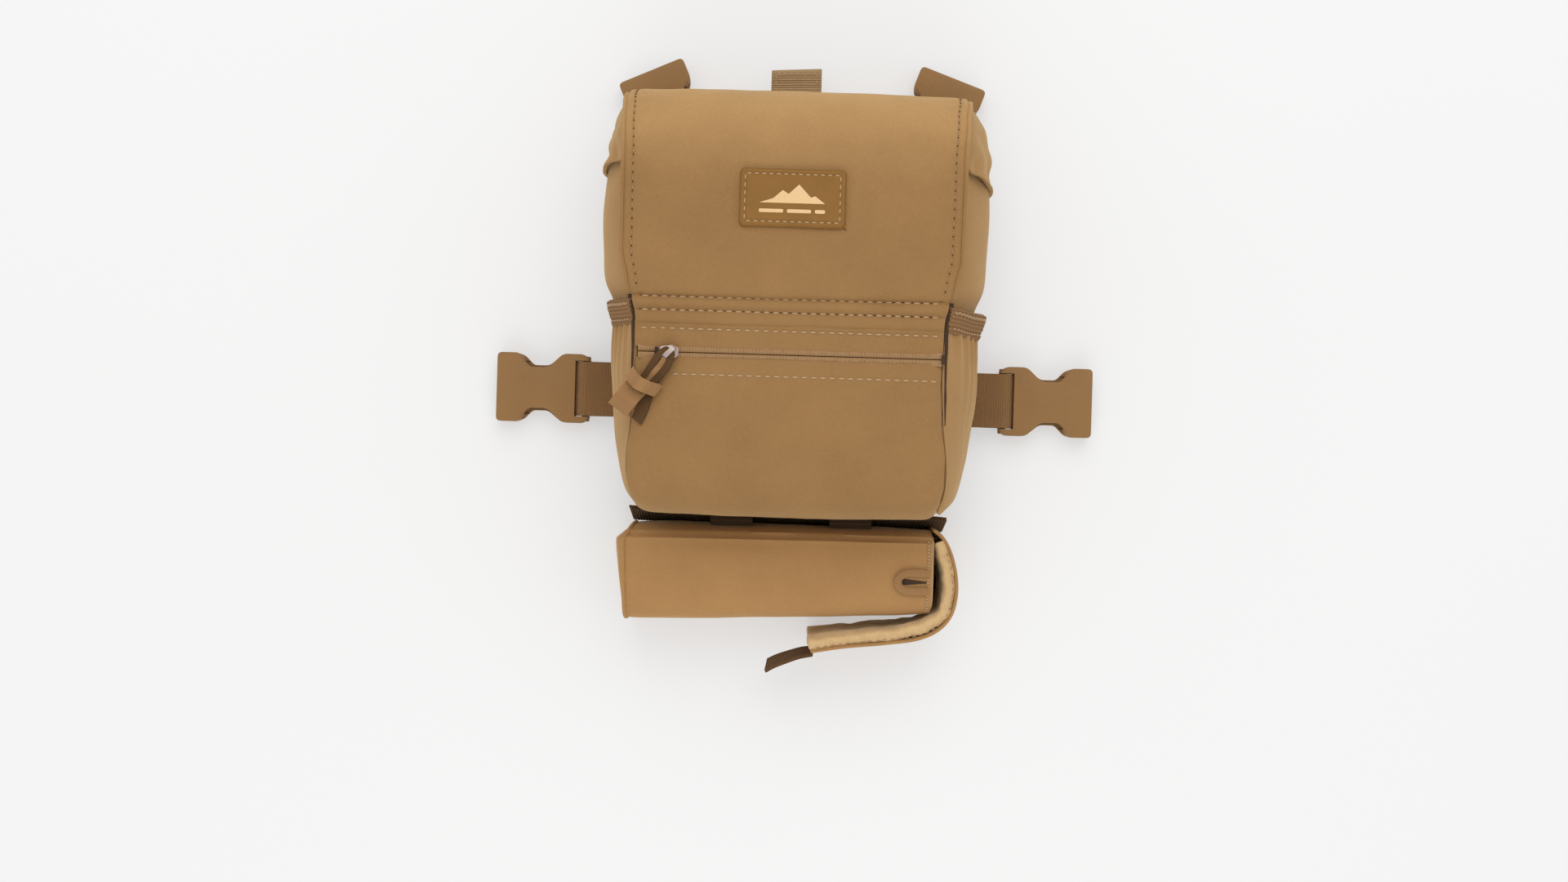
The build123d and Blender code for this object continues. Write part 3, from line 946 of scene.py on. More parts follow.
def make_lid_cover():
    length = LID_LINE.length

    def shape(u, v):
        s = v * length
        return lid_face((2 * u - 1) * lid_half(s), s)

    cover = cloth("lid_cover", shape, 122, 122, LID_THICK, (152, length))
    dress(cover, None, "lid_fabric", ("lid_front_panel", "lid_top_panel"))
    at(0, 38.2, 85)
    at(0, 42.5, 85)
    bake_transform(cover)

    edge_end = 148.0
    for side, name in ((-1, "left"), (1, "right")):
        def edge(s, side=side):
            point = lid_face(side * (lid_half(s) + 0.1), s)
            return point + Vector((side * 0.5, -LID_LINE.ahead(s).y * -0.4, -0.3)) * MM

        line = [edge(3 + i * (edge_end - 3) / 60) for i in range(61)]
        cord = piping("lid_piping_" + name, line, 1.05)
        dress(cord, "lid", "lid_fabric")
        rows = [(side * (lid_half(s) - LID_SEAM_IN), s) for s in range(5, 120, 4)]
        sew("lid_edge_stitches_" + name, lid_face, walk(rows, STITCH_PITCH, 2.3), "lid",
            holes=0.72, thread="brown_thread")


# ---------------------------------------------------------------- lid wings


def arch(front, middle, back, t):
    """The point at share t of a curve from front to back that passes through middle."""
    pull = middle * 2 - (front + back) / 2
    return front * (1 - t) ** 2 + pull * (2 * t * (1 - t)) + back * t ** 2


# The pack's widest half by y, under the lid's wings
WING_HALF = [(90, 87.8), (105, 86.8), (117, 85.6), (125, 83.2), (131, 78.0)]
WING_START, WING_END = 61.0, 151.0
WING_THICK = 1.6


def wing_face(side, hem_y, u, v):
    """One wing, u from its hem to the lid's far corner and v from the lid's edge to the back."""
    s = WING_START + (WING_END - WING_START) * u
    y, z = LID_LINE.at(s)
    front = Vector((lid_half(s) - 0.6, y - 0.8, z - 1.4))
    back_y = hem_y - 3 + (129.2 - hem_y + 3) * u ** 0.9
    back = Vector((84.6 - 6.2 * u ** 3, back_y, 10.8))
    middle_y = hem_y - 1.5 + (130.0 - hem_y + 1.5) * u ** 0.85
    trim = 2.0 * math.sin(math.pi * u) if side < 0 else 0.0
    middle = Vector((read(WING_HALF, middle_y) - trim, middle_y, 47 - 33 * u ** 2))
    point = arch(front, middle, back, v)
    body = math.sin(math.pi * min(v, 1)) * (1 - u) ** 0.5
    fold = 1.1 * math.sin(9.0 * u + 5.0 * v + 0.8) * math.exp(-((v - 0.35) / 0.3) ** 2)
    fold += 0.8 * math.sin(16.0 * (u - 0.55 * v) + 1.0) * bump(u - 0.25, 0.3)
    tuck = -1.3 * bump(v - 0.12 - 0.5 * u, 0.05) * bump(u - 0.03, 0.12)
    hem = 0.5 * bump(u - 0.015, 0.02)
    soft = 0.7 * crumple(u * 60, v * 60, 14, 3.0 + side)
    lift = (fold + soft) * body + tuck + hem
    x = side * (point.x + lift)
    return at(leaning(x, point.z), point.y + 0.25 * lift, point.z)


def make_wings():
    for side, name, hem_y in ((-1, "left", 98.5), (1, "right", 95.0)):
        def shape(u, v, side=side, hem_y=hem_y):
            across = 1 - v if side > 0 else v
            return wing_face(side, hem_y, u, across)

        wing = cloth("lid_wing_cloth_" + name, shape, 52, 72, WING_THICK, (80, 86))
        dress(wing, "lid", "side_fabric", ("lid_wing_" + name,))


# ---------------------------------------------------------------- patch, tab and lid lining


def patch_face(x, s):
    """The top of the patch, with a stitched channel inside its rounded edge."""
    over = PATCH_WIDE / 2 - abs(x)
    up = PATCH_HIGH / 2 - abs(s)
    inward = min(over, up)
    if over < 2.4 and up < 2.4:
        inward = 2.4 - math.hypot(2.4 - over, 2.4 - up)
    inward = max(inward, 0)
    height = PATCH_TALL * (1 - math.exp(-inward / 0.55))
    height -= 0.55 * bump(inward - 2.5, 0.55)
    height -= 0.25 * (1 - math.exp(-max(inward - 3.4, 0) / 0.8))
    height += 0.08 * crumple(x, s, 7, 5.0)
    y, z = LID_LINE.at(PATCH_S + s)
    ahead = LID_LINE.ahead(PATCH_S + s)
    height += 0.9
    return at(PATCH_X + x, y - ahead.y * height, z + ahead.x * height)


def make_patch():
    wide, high = PATCH_WIDE, PATCH_HIGH

    def shape(u, v):
        x, s = (u - 0.5) * wide, (v - 0.5) * high
        corner = 2.4
        over, up = wide / 2 - abs(x), high / 2 - abs(s)
        if over < corner and up < corner:
            reach = math.hypot(corner - over, corner - up)
            if reach > corner:
                x -= math.copysign((corner - over) * (1 - corner / reach), x)
                s -= math.copysign((corner - up) * (1 - corner / reach), s)
        return patch_face(x, s)

    patch = cloth("lid_patch_leather", shape, 92, 52, 1.9, (wide, high))
    dress(patch, "lid", "patch_leather", ("lid_patch",))
    inset = 2.5
    x, s = wide / 2 - inset, high / 2 - inset
    rows = [(-x, -s), (x, -s), (x, s), (-x, s), (-x, -s)]
    sew("lid_patch_stitches", patch_face, walk(rows, 3.2, 2.3), "lid", holes=0, radius=0.36)
    marks = []
    ridge = [(-14.5, -2.4), (14, -2.4), (9.6, 0.9), (7.8, 0.2), (2.6, 5.8), (-1.8, 1.6),
             (-4.4, 3.2), (-8.4, -0.4)]
    foot, top, edge = 0, 0.35, 0.12
    marks.append(plate("ridge", rounded(ridge, 0.4), foot, top, edge))
    for left, right in ((-14.5, -4.0), (-2.4, 8.0), (9.6, 14.0)):
        bar = rounded([(left, -6.6), (right, -6.6), (right, -5.0), (left, -5.0)], 0.6)
        marks.append(plate(f"bar_{left}", bar, foot, top, edge))
    mark = join("lid_patch_mark", marks)
    for vertex in mark.data.vertices:
        x, s, z = vertex.co / MM
        point, normal = touch(patch_face, x, s)
        vertex.co = point + normal * (z - 0.1) * MM
    dress(mark, "lid", "patch_mark")


def make_pull_tab():
    """Folded webbing on the lid's rear edge, sewn down each side."""
    wide, rear, tip = 23.4, 129.6, 151.0

    def tab_face(x, t):
        across = abs(x) / (wide / 2)
        rib = 0.17 * math.sin(math.tau * t / 1.15)
        end = 0.9 * math.exp(-max(tip - rear - t, 0) / 0.6)
        edge = 0.7 * math.exp(-(1 - across) * wide / 2 / 0.5)
        slant = 0.055 * x * t / 21
        sewn = 0.3 * bump((1 - across) * wide / 2 - 2.2, 0.5)
        wave = 0.5 * math.sin(0.16 * t)
        height = 16.1 + rib - end - edge - sewn + wave + 0.25 * crumple(x, t, 9)
        return at(-3.3 + x, rear + t + slant, height)

    def shape(u, v):
        return tab_face((u - 0.5) * wide, v * (tip - rear))

    tab = cloth("lid_tab_webbing", shape, 26, 84, 2.6, (tip - rear, wide))
    for corner in tab.data.uv_layers.active.data:
        corner.uv = (corner.uv[1], corner.uv[0])
    dress(tab, "lid", "tab_webbing", ("lid_pull_tab",))
    x = wide / 2 - 2.2
    pairs = walk([(-x, 3), (-x, 19)], 2.6, 1.9) + walk([(x, 3), (x, 19)], 2.6, 1.9)
    pairs += walk([(-x, 19), (x, 19)], 2.6, 1.9)
    sew("lid_tab_stitches", tab_face, pairs, "lid", holes=0, radius=0.3)


def make_lid_lining():
    """Fleece inside the lid, from near the fold to the rear edge."""
    low, high, half = 6.0, 143.0, 65.0

    def shape(u, v):
        s = low + (high - low) * v
        x = (2 * u - 1) * half
        y, z = LID_LINE.at(s)
        ahead = LID_LINE.ahead(s)
        depth = read([(0, 3.9), (56, 3.9), (80, 5.6), (150, 5.8)], s)
        rim = min(half - abs(x), s - low, high - s)
        depth += 1.0 * math.exp(-max(rim, 0) / 1.5) - 0.35 * crumple(x, s, 9, 7.0)
        return at(leaning(x, z), y + ahead.y * depth, z - ahead.x * depth)

    lining = cloth("lid_fleece", shape, 44, 46, 1.4, (130, 137))
    dress(lining, "lid", "main_lining", ("lid_lining",))


# ---------------------------------------------------------------- fold, yoke and front pocket

FOLD_LOW, FOLD_HIGH = 32.4, 38.3
FOLD_EDGE = 26.2
ZIP_Y = 14.3
ZIP_GAP = 2.2
FRONT_HALF = [(-2, 66.4), (10, 66.2), (28, 66.6), (40, 68.6)]


def front_half(y):
    return read(FRONT_HALF, y)


def fold_face(x, y):
    """The padded channel between two rows of stitches, and the band below it."""
    edge = front_half(y) - abs(x)
    z = 85.0
    z += 1.7 * max(0.0, 1 - ((y - 35.4) / 2.7) ** 2)
    z += 0.95 * max(0.0, 1 - ((y - 29.4) / 3.4) ** 2) ** 0.7
    pucker = 0.75 + 0.25 * math.cos(math.tau * x / STITCH_PITCH)
    z -= 0.5 * pucker * (bump(y - FOLD_LOW, 0.6) + bump(y - FOLD_HIGH, 0.6))
    z -= 1.1 * math.exp(-(y - FOLD_EDGE) / 0.45)
    z += 0.22 * math.cos(math.tau * x / 7.9) * bump(y - 34.0, 1.4)
    z -= 1.6 * math.exp(-max(edge, 0) / 1.4)
    z += 0.25 * crumple(x, y * 2, 16, 11.0)
    return at(leaning(x, 85), y, z)


def yoke_face(x, y):
    """The strip between the fold and the zip, which passes under the fold."""
    edge = front_half(y) - abs(x)
    z = 84.9 - 0.35 * bump(y - 24.6, 0.6) - 0.25 * math.exp(-(y - ZIP_Y - ZIP_GAP) / 0.5)
    z += 0.15 * crumple(x, y * 2, 12, 12.0) + 0.25 * bump(y - 20, 3)
    z -= 1.6 * math.exp(-max(edge, 0) / 1.4)
    return at(leaning(x, 85), y, z)


# The middle of the front pocket's face, from the zip down round the pack's lower edge, as (y, z)
POCKET_LINE = Route([
    (ZIP_Y - ZIP_GAP, 84.7), (8, 85.3), (0, 85.8), (-15, 86.6), (-28, 86.2), (-38, 84.4),
    (-46, 80.6), (-51.6, 74.6), (-54.6, 66.5), (-55.8, 57), (-56.0, 48), (-54.8, 41),
])
POCKET_HALF = [
    (0, 66.0), (10, 65.9), (27, 66.9), (42, 68.6), (54, 68.6), (64, 67.4), (74, 66.4), (105, 65.6),
]
POCKET_SEAM = 7.4


def pocket_face(x, s):
    """The front pocket's face, x across and s down from the zip."""
    y, z = POCKET_LINE.at(s)
    ahead = POCKET_LINE.ahead(s)
    edge = read(POCKET_HALF, s) - abs(x)
    lift = 0.9 * (1 - (x / 70) ** 2) * min(1, s / 30)
    lift -= (2.6 if x < 0 else 3.0) * math.exp(-max(edge, 0) / 2.2)
    lift -= 0.2 * math.exp(-s / 0.5)
    lift += 0.5 / (1 + math.exp((s - POCKET_SEAM - 1.6) / 0.35))
    lift -= 0.35 * bump(s - POCKET_SEAM, 0.6)
    corner = max(0.0, (x - 20) / 46) * math.exp(-((s - 22) / 16) ** 2)
    lift += 1.0 * corner * math.sin((x * 0.42 + s * 0.75) * 0.36)
    lift += 0.55 * crumple(x, s, 30, 21.0) + 0.2 * crumple(x, s, 10, 22.0)
    return at(leaning(x, z), y + ahead.y * lift, z - ahead.x * lift)


def make_front():
    def fold_shape(u, v):
        y = FOLD_EDGE + (38.9 - FOLD_EDGE) * v
        return fold_face((2 * u - 1) * front_half(y), y)

    fold = cloth("fold_channel", fold_shape, 136, 22, 2.2, (134, 13))
    dress(fold, "pack", "face_fabric", ("hinge_fold",))
    half = 64.6
    for name, y in (("fold_stitches_upper", FOLD_HIGH), ("fold_stitches_lower", FOLD_LOW)):
        sew(name, fold_face, walk([(-half, y), (half, y)], STITCH_PITCH, STITCH_DASH), "pack")

    def yoke_shape(u, v):
        y = ZIP_Y + ZIP_GAP + (28.6 - ZIP_Y - ZIP_GAP) * v
        return yoke_face((2 * u - 1) * front_half(y), y)

    yoke = cloth("pocket_yoke", yoke_shape, 100, 18, 1.8, (132, 12))
    dress(yoke, "pack", "face_fabric", ("pocket_top_strip",))
    sew("yoke_stitches", yoke_face, walk([(-half, 24.6), (half, 24.3)], STITCH_PITCH, STITCH_DASH),
        "pack", holes=0)

    length = POCKET_LINE.length

    def pocket_shape(u, v):
        s = (1 - v) * length
        return pocket_face((2 * u - 1) * read(POCKET_HALF, s), s)

    pocket = cloth("pocket_front", pocket_shape, 118, 90, 2.0, (134, length))
    dress(pocket, "pack", "face_fabric", ("pocket_panel", "pocket_gusset"))
    row = walk([(-half + 14, POCKET_SEAM), (half, POCKET_SEAM)], STITCH_PITCH, STITCH_DASH)
    sew("pocket_stitches", pocket_face, row, "pack", outward=-1, holes=0)


# ---------------------------------------------------------------- zip


ZIP_LEFT, ZIP_RIGHT = -65.0, 66.0
ZIP_Z = 84.75
SLIDER_X = -55.0
PULL_TURN = 234.6


def make_zip():
    """Ribbed tape on each side of a narrow gap, over the coil's core, which is near black to paint
    the shade in the gap.
    """
    strips = []
    for side in (-1, 1):
        def shape(u, v, side=side):
            across = v if side > 0 else 1 - v
            x = ZIP_LEFT + (ZIP_RIGHT - ZIP_LEFT) * u
            y = ZIP_Y + side * (0.16 + 2.7 * across)
            rib = 0.5 * abs(math.sin(math.pi * x / 1.3)) * bump(across - 0.45, 0.42)
            return at(leaning(x, 85), y, ZIP_Z - 0.25 - 0.5 * math.exp(-across / 0.12) + rib)

        strips.append(cloth("strip", shape, 380, 6, 0.9, (125, 3)))
    ribs = join("zip_ribs", strips)
    dress(ribs, "pack", "zip_coil", ("zipper_coils", "zipper_tapes"))

    # The coil's core under the gap, near black for the painted shade seen through it.
    def core(u, v):
        x = ZIP_LEFT + (ZIP_RIGHT - ZIP_LEFT) * u
        tooth = 0.15 * math.sin(math.tau * x / 1.3)
        return at(leaning(x, 85), ZIP_Y + (v - 0.5) * 1.6, 82.6 + tooth)

    centre = cloth("zip_core", core, 380, 3, 0.5, (125, 2))
    dress(centre, "pack", "seam_dark")


def make_slider():
    """The slider's plate, its bridge for the pull and its lower plate."""
    upper = plate(
        "upper",
        rounded([
            (-3.8, -2.2), (2.4, -3.0), (4.4, -1.8), (4.4, 1.8), (2.4, 3.0), (-3.8, 2.2),
        ], 1.1),
        86.0, 87.2, 0.35,
    )
    lower = plate("lower", rounded([(-4, -2), (4, -2), (4, 2), (-4, 2)], 1.0), 80.7, 81.7, 0.25)
    post_outline = rounded([(-1.4, -0.3), (1.4, -0.3), (1.4, 0.3), (-1.4, 0.3)], 0.2)
    post = plate("post", post_outline, 81.5, 86.4, 0)
    parts = [upper, lower, post]
    for piece in parts:
        place(piece, SLIDER_X, ZIP_Y, 0)
    bridge_line = Route([
        (-3.6, 0, 87.0), (-3.4, 0, 89.6), (-1.8, 0, 90.8), (1.8, 0, 90.8), (3.4, 0, 89.6),
        (3.6, 0, 87.0),
    ])
    bridge = bar_along("bridge", bridge_line, 2.2, 0.9)
    turn = math.radians(PULL_TURN - 10)
    bridge.data.transform(Matrix.Translation((0, -BASE_Y, 0)))
    bridge.data.transform(Matrix.Rotation(turn, 4, "Z"))
    bridge.data.transform(Matrix.Translation(at(SLIDER_X + 0.6, ZIP_Y - 0.2, 0)))
    slider = join("slider_body", [*parts, bridge])
    smooth(slider, 40)
    dress(slider, "zip_slider", "zip_metal", ("zip_slider",))


def bar_along(name, route, width, thick):
    """A flat bar with soft edges along a route, made at its place in millimetres."""
    bar = ribbon(name, route, width, thick, (0, 1, 0), rows=3)
    apply_modifier(
        bar, "BEVEL", width=0.25 * MM, segments=2, limit_method="ANGLE", angle_limit=0.9
    )
    return bar


def pull_place(u, w, z):
    """A point of the zip pull: u along it from the slider, w to its left and z up."""
    turn = math.radians(PULL_TURN)
    x = SLIDER_X + u * math.cos(turn) - w * math.sin(turn)
    y = ZIP_Y + u * math.sin(turn) + w * math.cos(turn)
    return x, y, z


def pull_strand(name, points, width, thick, tilt=0.0, rib=0.9):
    """One run of the pull's ribbon through (u, w, z) points."""
    route = Route([pull_place(*point) for point in points])
    turn = math.radians(PULL_TURN)
    flat = (-math.sin(turn) * math.cos(tilt), math.cos(turn) * math.cos(tilt), math.sin(tilt))
    return ribbon(name, route, width, thick, flat, rib=rib, rib_height=0.1, rows=8, step=0.3)


def make_pull():
    """Ribbon looped through the slider, knotted, with its two tails."""
    loop = [
        pull_strand("loop", [(19, 2.6, 88.0), (12, 3.6, 88.6), (5, 3.9, 89.2), (0, 2.2, 89.4),
                             (-1.6, 0.4, 89.2), (0, -1.4, 88.6), (5, -2.4, 88.2), (12, -2.0, 87.9),
                             (19, -1.6, 87.6)], 3.4, 1.1, 0.5),
    ]
    tail_line = [(17, 2.4, 87.5), (22, 4.4, 88.2), (27, 5.9, 87.8), (32, 6.8, 87.3)]
    tail = pull_strand("tail", tail_line, 5.4, 1.3, 0.35)
    dark = join("pull_loop", [*loop, tail])
    dress(dark, "zip_pull", "pull_dark", ("zip_pull",))
    inner_line = [(19, 0.5, 87.2), (12, 1.0, 87.6), (4, 1.2, 88.2), (0.5, 0.6, 88.8)]
    inner = pull_strand("inner", inner_line, 3.2, 1.0)
    front_line = [(18, -1.4, 88.6), (22.5, -1.9, 90.2), (28, -2.2, 90.0), (33, -2.3, 88.8)]
    front = pull_strand("front", front_line, 10.0, 1.5, 0.12)
    wrap_line = Route([pull_place(*point) for point in [
        (16.6, -6.6, 87.8), (17.6, -5.2, 90.6), (18.4, -2.0, 91.8), (17.8, 1.6, 92.2),
        (16.6, 4.6, 91.0), (16.0, 5.8, 88.2)]])
    turn = math.radians(PULL_TURN)
    wrap = ribbon("wrap", wrap_line, 5.8, 1.6, (math.cos(turn), math.sin(turn), 0), rib=0.9,
                  rib_height=0.08, step=0.3)
    light = join("pull_knot", [inner, front, wrap])
    dress(light, "zip_pull", "pull_ribbon")


# ---------------------------------------------------------------- tub and side pockets

# Half of the tub's wall from its top rear corner down and round to the middle of its underside:
# at the front seam, at its widest and at the back
TUB_ROWS = [
    ((76.0, 121.5, 16), (79.0, 121.8, 14), (79.0, 122.5, 11.4)),
    ((74.6, 114.0, 60), (84.4, 116.5, 36), (81.0, 117.0, 11.4)),
    ((72.0, 96.0, 77), (86.0, 97.0, 42), (82.4, 98.0, 11.4)),
    ((71.4, 78.0, 80.2), (86.6, 80.0, 45), (82.0, 80.0, 11.4)),
    ((71.0, 60.0, 80.8), (85.8, 62.0, 45), (80.0, 62.0, 11.4)),
    ((69.8, 47.0, 80.8), (85.2, 48.0, 45), (78.0, 48.0, 11.4)),
    ((67.0, 36.0, 80.5), (80.8, 37.0, 45), (76.4, 36.0, 11.4)),
    ((65.8, 20.0, 81), (77.6, 20.0, 45), (76.0, 20.0, 11.4)),
    ((65.4, 0.0, 81), (77.2, 0.0, 44), (75.4, 0.0, 11.4)),
    ((65.8, -20.0, 80), (75.6, -20.0, 44), (73.4, -20.0, 11.4)),
    ((65.6, -36.0, 77), (71.6, -38.0, 43), (69.6, -36.0, 11.4)),
    ((61.0, -47.0, 71), (65.6, -49.6, 42), (63.4, -47.4, 11.4)),
    ((52.0, -51.0, 66), (55.6, -53.6, 41), (54.0, -51.0, 11.4)),
    ((26.0, -51.6, 64), (28.0, -54.0, 41), (27.0, -51.4, 11.4)),
    ((0.0, -51.6, 64), (0.0, -54.0, 41), (0.0, -51.4, 11.4)),
]


def both_sides(rows, part):
    """A route round the pack through one column of a table of its right half."""
    right = [Vector(row[part]) for row in rows]
    left = [Vector((-p.x, p.y, p.z)) for p in reversed(right[:-1])]
    return [*right, *left]


def even(points, share):
    """The smooth point at a share of the way through a list, counted by its points."""
    position = share * (len(points) - 1)
    i = min(int(position), len(points) - 2)
    around = [points[min(max(i + k, 0), len(points) - 1)] for k in (-1, 0, 1, 2)]
    return Route.between(*around, position - i)


def make_tub():
    fronts, middles, backs = (both_sides(TUB_ROWS, part) for part in range(3))

    def shape(u, v):
        share = u
        front, middle, back = (even(points, share) for points in (fronts, middles, backs))
        point = arch(front, middle, back, v)
        outward = Vector((point.x, min(point.y + 20, 0) if point.y < -20 else 0, 0)).normalized()
        lift = 0.9 * crumple(u * 400, v * 70, 26, 31.0) * math.sin(math.pi * v)
        point = point + outward * lift
        return at(leaning(point.x, point.z), point.y, point.z)

    tub = cloth("tub_wall", shape, 210, 34, 2.2, (420, 78))
    stands_for = ("tub_left_wall", "tub_right_wall", "tub_bottom_wall", "tub_front_wall")
    dress(tub, "pack", "side_fabric", stands_for)

    def front_shape(u, v):
        y = -49 + (33 - -49) * v
        half = read([(-49, 56), (-36, 62), (0, 63), (40, 65)], y)
        x = (2 * u - 1) * half
        return at(leaning(x, 80), y, 76.2 + 0.3 * crumple(x, y, 20, 33.0))

    inner = cloth("tub_front_cloth", front_shape, 40, 26, 2.0, (124, 82))
    dress(inner, "pack", "main_lining", ("front_lining",))


POCKET_ROWS = [
    ((66.8, -53.0, 55), (69.4, -53.4, 42), (66.0, -50.0, 11.6)),
    ((69.4, -43.0, 71), (75.6, -46.0, 44), (70.6, -45.0, 11.6)),
    ((69.4, -31.0, 80), (79.4, -31.0, 45), (75.0, -31.0, 11.6)),
    ((67.9, -17.0, 82), (81.4, -17.0, 45), (77.8, -17.0, 11.6)),
    ((67.2, -5.0, 82.4), (82.8, -5.0, 45), (78.8, -5.0, 11.6)),
    ((66.9, 8.0, 82.4), (83.6, 8.0, 45), (79.2, 8.0, 11.6)),
    ((66.9, 18.0, 82.2), (83.4, 18.0, 45), (79.2, 18.0, 11.6)),
    ((67.2, 31.0, 81.8), (82.4, 31.0, 45), (78.8, 31.0, 11.6)),
]
BINDING_ROWS = [
    ((67.0, 26.0, 82.2), (82.6, 26.0, 45), (79.0, 26.0, 11.6)),
    ((68.2, 32.0, 82.6), (84.6, 32.0, 45), (80.4, 32.0, 11.6)),
    ((69.0, 37.4, 82.8), (86.2, 37.6, 45), (81.4, 37.4, 11.6)),
]
POCKET_THICK = 1.4
LEFT_TRIM = 2.3


def side_face(rows, side, u, v, slope=0.0):
    """A point of a sheet on the pack's side, u up it and v from the back to the front seam."""
    front, middle, back = (
        even([Vector(row[part]) for row in rows], u) for part in range(3)
    )
    middle = middle - Vector((LEFT_TRIM if side < 0 else 0.4, 0, 0))
    point = arch(front, middle, back, 1 - v)
    point.y -= slope * (1 - v)
    return point


def make_side_pockets():
    for side, name, slope in ((-1, "left", 0.0), (1, "right", 2.6)):
        def pocket_shape(u, v, side=side, slope=slope):
            across = v if side > 0 else 1 - v
            point = side_face(POCKET_ROWS, side, u, across, slope * u)
            gather = math.exp(-(1 - u) / 0.17)
            pleat = 1.15 * math.sin(math.tau * across * 8.5 + 1.3 * math.sin(across * 9 + side))
            flow = 0.9 * crumple(across * 60, u * 60, 16, 40.0 + side) * math.sin(math.pi * across)
            lift = pleat * gather * math.sin(math.pi * across) ** 0.5 + flow * (1 - gather)
            x = side * (point.x + lift)
            return at(leaning(x, point.z), point.y, point.z + 0.3 * lift)

        pocket = cloth("side_pocket_cloth_" + name, pocket_shape, 70, 110, POCKET_THICK, (88, 92))
        dress(pocket, "pack", "side_fabric", ("side_pocket_" + name,))

        def binding_face(a, b, side=side, slope=slope):
            """a from the back to the front and b up the binding, both as shares."""
            point = side_face(BINDING_ROWS, side, b, a, slope)
            rib = 0.22 * math.sin(math.tau * b * 7)
            wave = 0.7 * math.sin(a * 13 + side) * math.sin(math.pi * a)
            rim = 1.3 * (math.exp(-b / 0.05) + math.exp(-(1 - b) / 0.05))
            end = 1.6 * (math.exp(-a / 0.02) + math.exp(-(1 - a) / 0.025))
            crease = 0.5 * bump(b - 0.3, 0.04)
            x = side * (point.x + rib + wave + 0.9 - rim - crease)
            return at(leaning(x, point.z), point.y + 0.5 * wave, point.z - end * 0.4)

        def binding_shape(u, v, side=side):
            return binding_face(v if side > 0 else 1 - v, u)

        binding = cloth("side_binding_cloth_" + name, binding_shape, 44, 100, 1.8, (11, 90))
        for corner in binding.data.uv_layers.active.data:
            corner.uv = (corner.uv[1], corner.uv[0])
        dress(binding, "pack", "elastic", ("side_binding_" + name,))
        zigzag = []
        count = 40
        for i in range(count):
            low, high = (0.7, 0.82) if i % 2 else (0.82, 0.7)
            start, end = 0.05 + 0.92 * i / count, 0.05 + 0.92 * (i + 0.8) / count
            zigzag.append((Vector((start, low)), Vector((end, high))))

        def scaled_face(a, b, side=side):
            return binding_face(a / 100, b / 100)

        zigzag = [(first * 100, last * 100) for first, last in zigzag]
        lower = [tuple(Vector((100 * (0.04 + 0.93 * k / 22), 22)) for k in (i, i + 0.7))
                 for i in range(22)]
        sew("side_binding_stitches_" + name, scaled_face, zigzag + lower, "pack", holes=0,
            outward=-side, radius=0.34)


def make_seam_tapes():
    """Tape down the gap beside the front pocket, near black to paint the shade in that gap."""
    for side, name in ((-1, "left"), (1, "right")):
        def shape(u, v, side=side):
            y = -14 + 53 * u
            wave = 0.35 * crumple(y, 0, 7, 50.0 + side)
            wide = 1.5 if side < 0 else 2.6
            x = side * (front_half(y) + 0.7 + wave + (v - 0.5) * wide * side)
            return at(leaning(x, 85), y, 81.6 - 1.2 * abs(v - 0.5))

        tape = cloth("seam_tape_" + name, shape, 60, 4, 0.5, (53, 3))
        dress(tape, "pack", "seam_dark")


# ---------------------------------------------------------------- webbing tabs and buckles

# Where each tab leaves the pack's edge and which way it points
STRAPS = {
    "side_left": (-84.5, -0.8, 180.0),
    "side_right": (84.5, -0.8, 0.0),
    "top_left": (-49.6, 99.0, 114.0),
    "top_right": (51.8, 98.0, 70.0),
}
WEB_WIDE = 25.4
BAR_OUT = 13.7
TAB_LINE = [
    (-0.2, 9.7), (3.5, 9.5), (8.5, 9.2), (BAR_OUT - 1.5, 8.9), (BAR_OUT + 2.2, 8.0),
    (BAR_OUT + 4.0, 5.2), (BAR_OUT + 2.6, 2.2), (BAR_OUT - 0.8, 1.3), (9.0, 2.6), (4.5, 6.0),
    (-0.2, 8.2),
]


def make_tabs():
    """Webbing from the pack's edge over each buckle's bar and back under itself."""
    for name, (x, y, turn) in STRAPS.items():
        line = Route([(u, 0, z) for u, z in TAB_LINE])
        tab = ribbon(name + "_webbing", line, WEB_WIDE, 1.3, (0, -1, 0), rib=1.05,
                     rib_height=0.15, rows=24, step=0.26)
        tab.data.transform(Matrix.Translation((0, -BASE_Y, 0)))
        place(tab, x, y, turn)
        dress(tab, name + "_strap", "webbing", (name + "_strap",))


REAR, MOUTH, HALF_WIDE, NECK, DEEP = 11.2, 55.5, 16.2, 9.6, 9.6


def buckle_half(neck, grow=0.0):
    return [
        (REAR, 12.2), (REAR + 3.4, HALF_WIDE), (REAR + 13.5, HALF_WIDE),
        (REAR + 17.2, neck + 3.0), (REAR + 20.5, neck), (MOUTH - 15.5 - grow, neck),
        (MOUTH - 13.2 - grow, neck + 2.4), (MOUTH - 11.6 - grow, HALF_WIDE - 1.4),
        (MOUTH - 9.4, HALF_WIDE), (MOUTH, HALF_WIDE),
    ]


def both_halves(half):
    return [(x, -y) for x, y in half] + [(x, y) for x, y in reversed(half)]


def buckle_strip(name, rear, front, inner, outer, s):
    """A raised strip along one side of a buckle, s being 1 or -1 for the side."""
    corners = [(rear, s * inner), (front, s * inner), (front, s * outer), (rear, s * outer)]
    return plate(name, rounded(corners[::s], 0.5), 2.3, 2.8, 0)


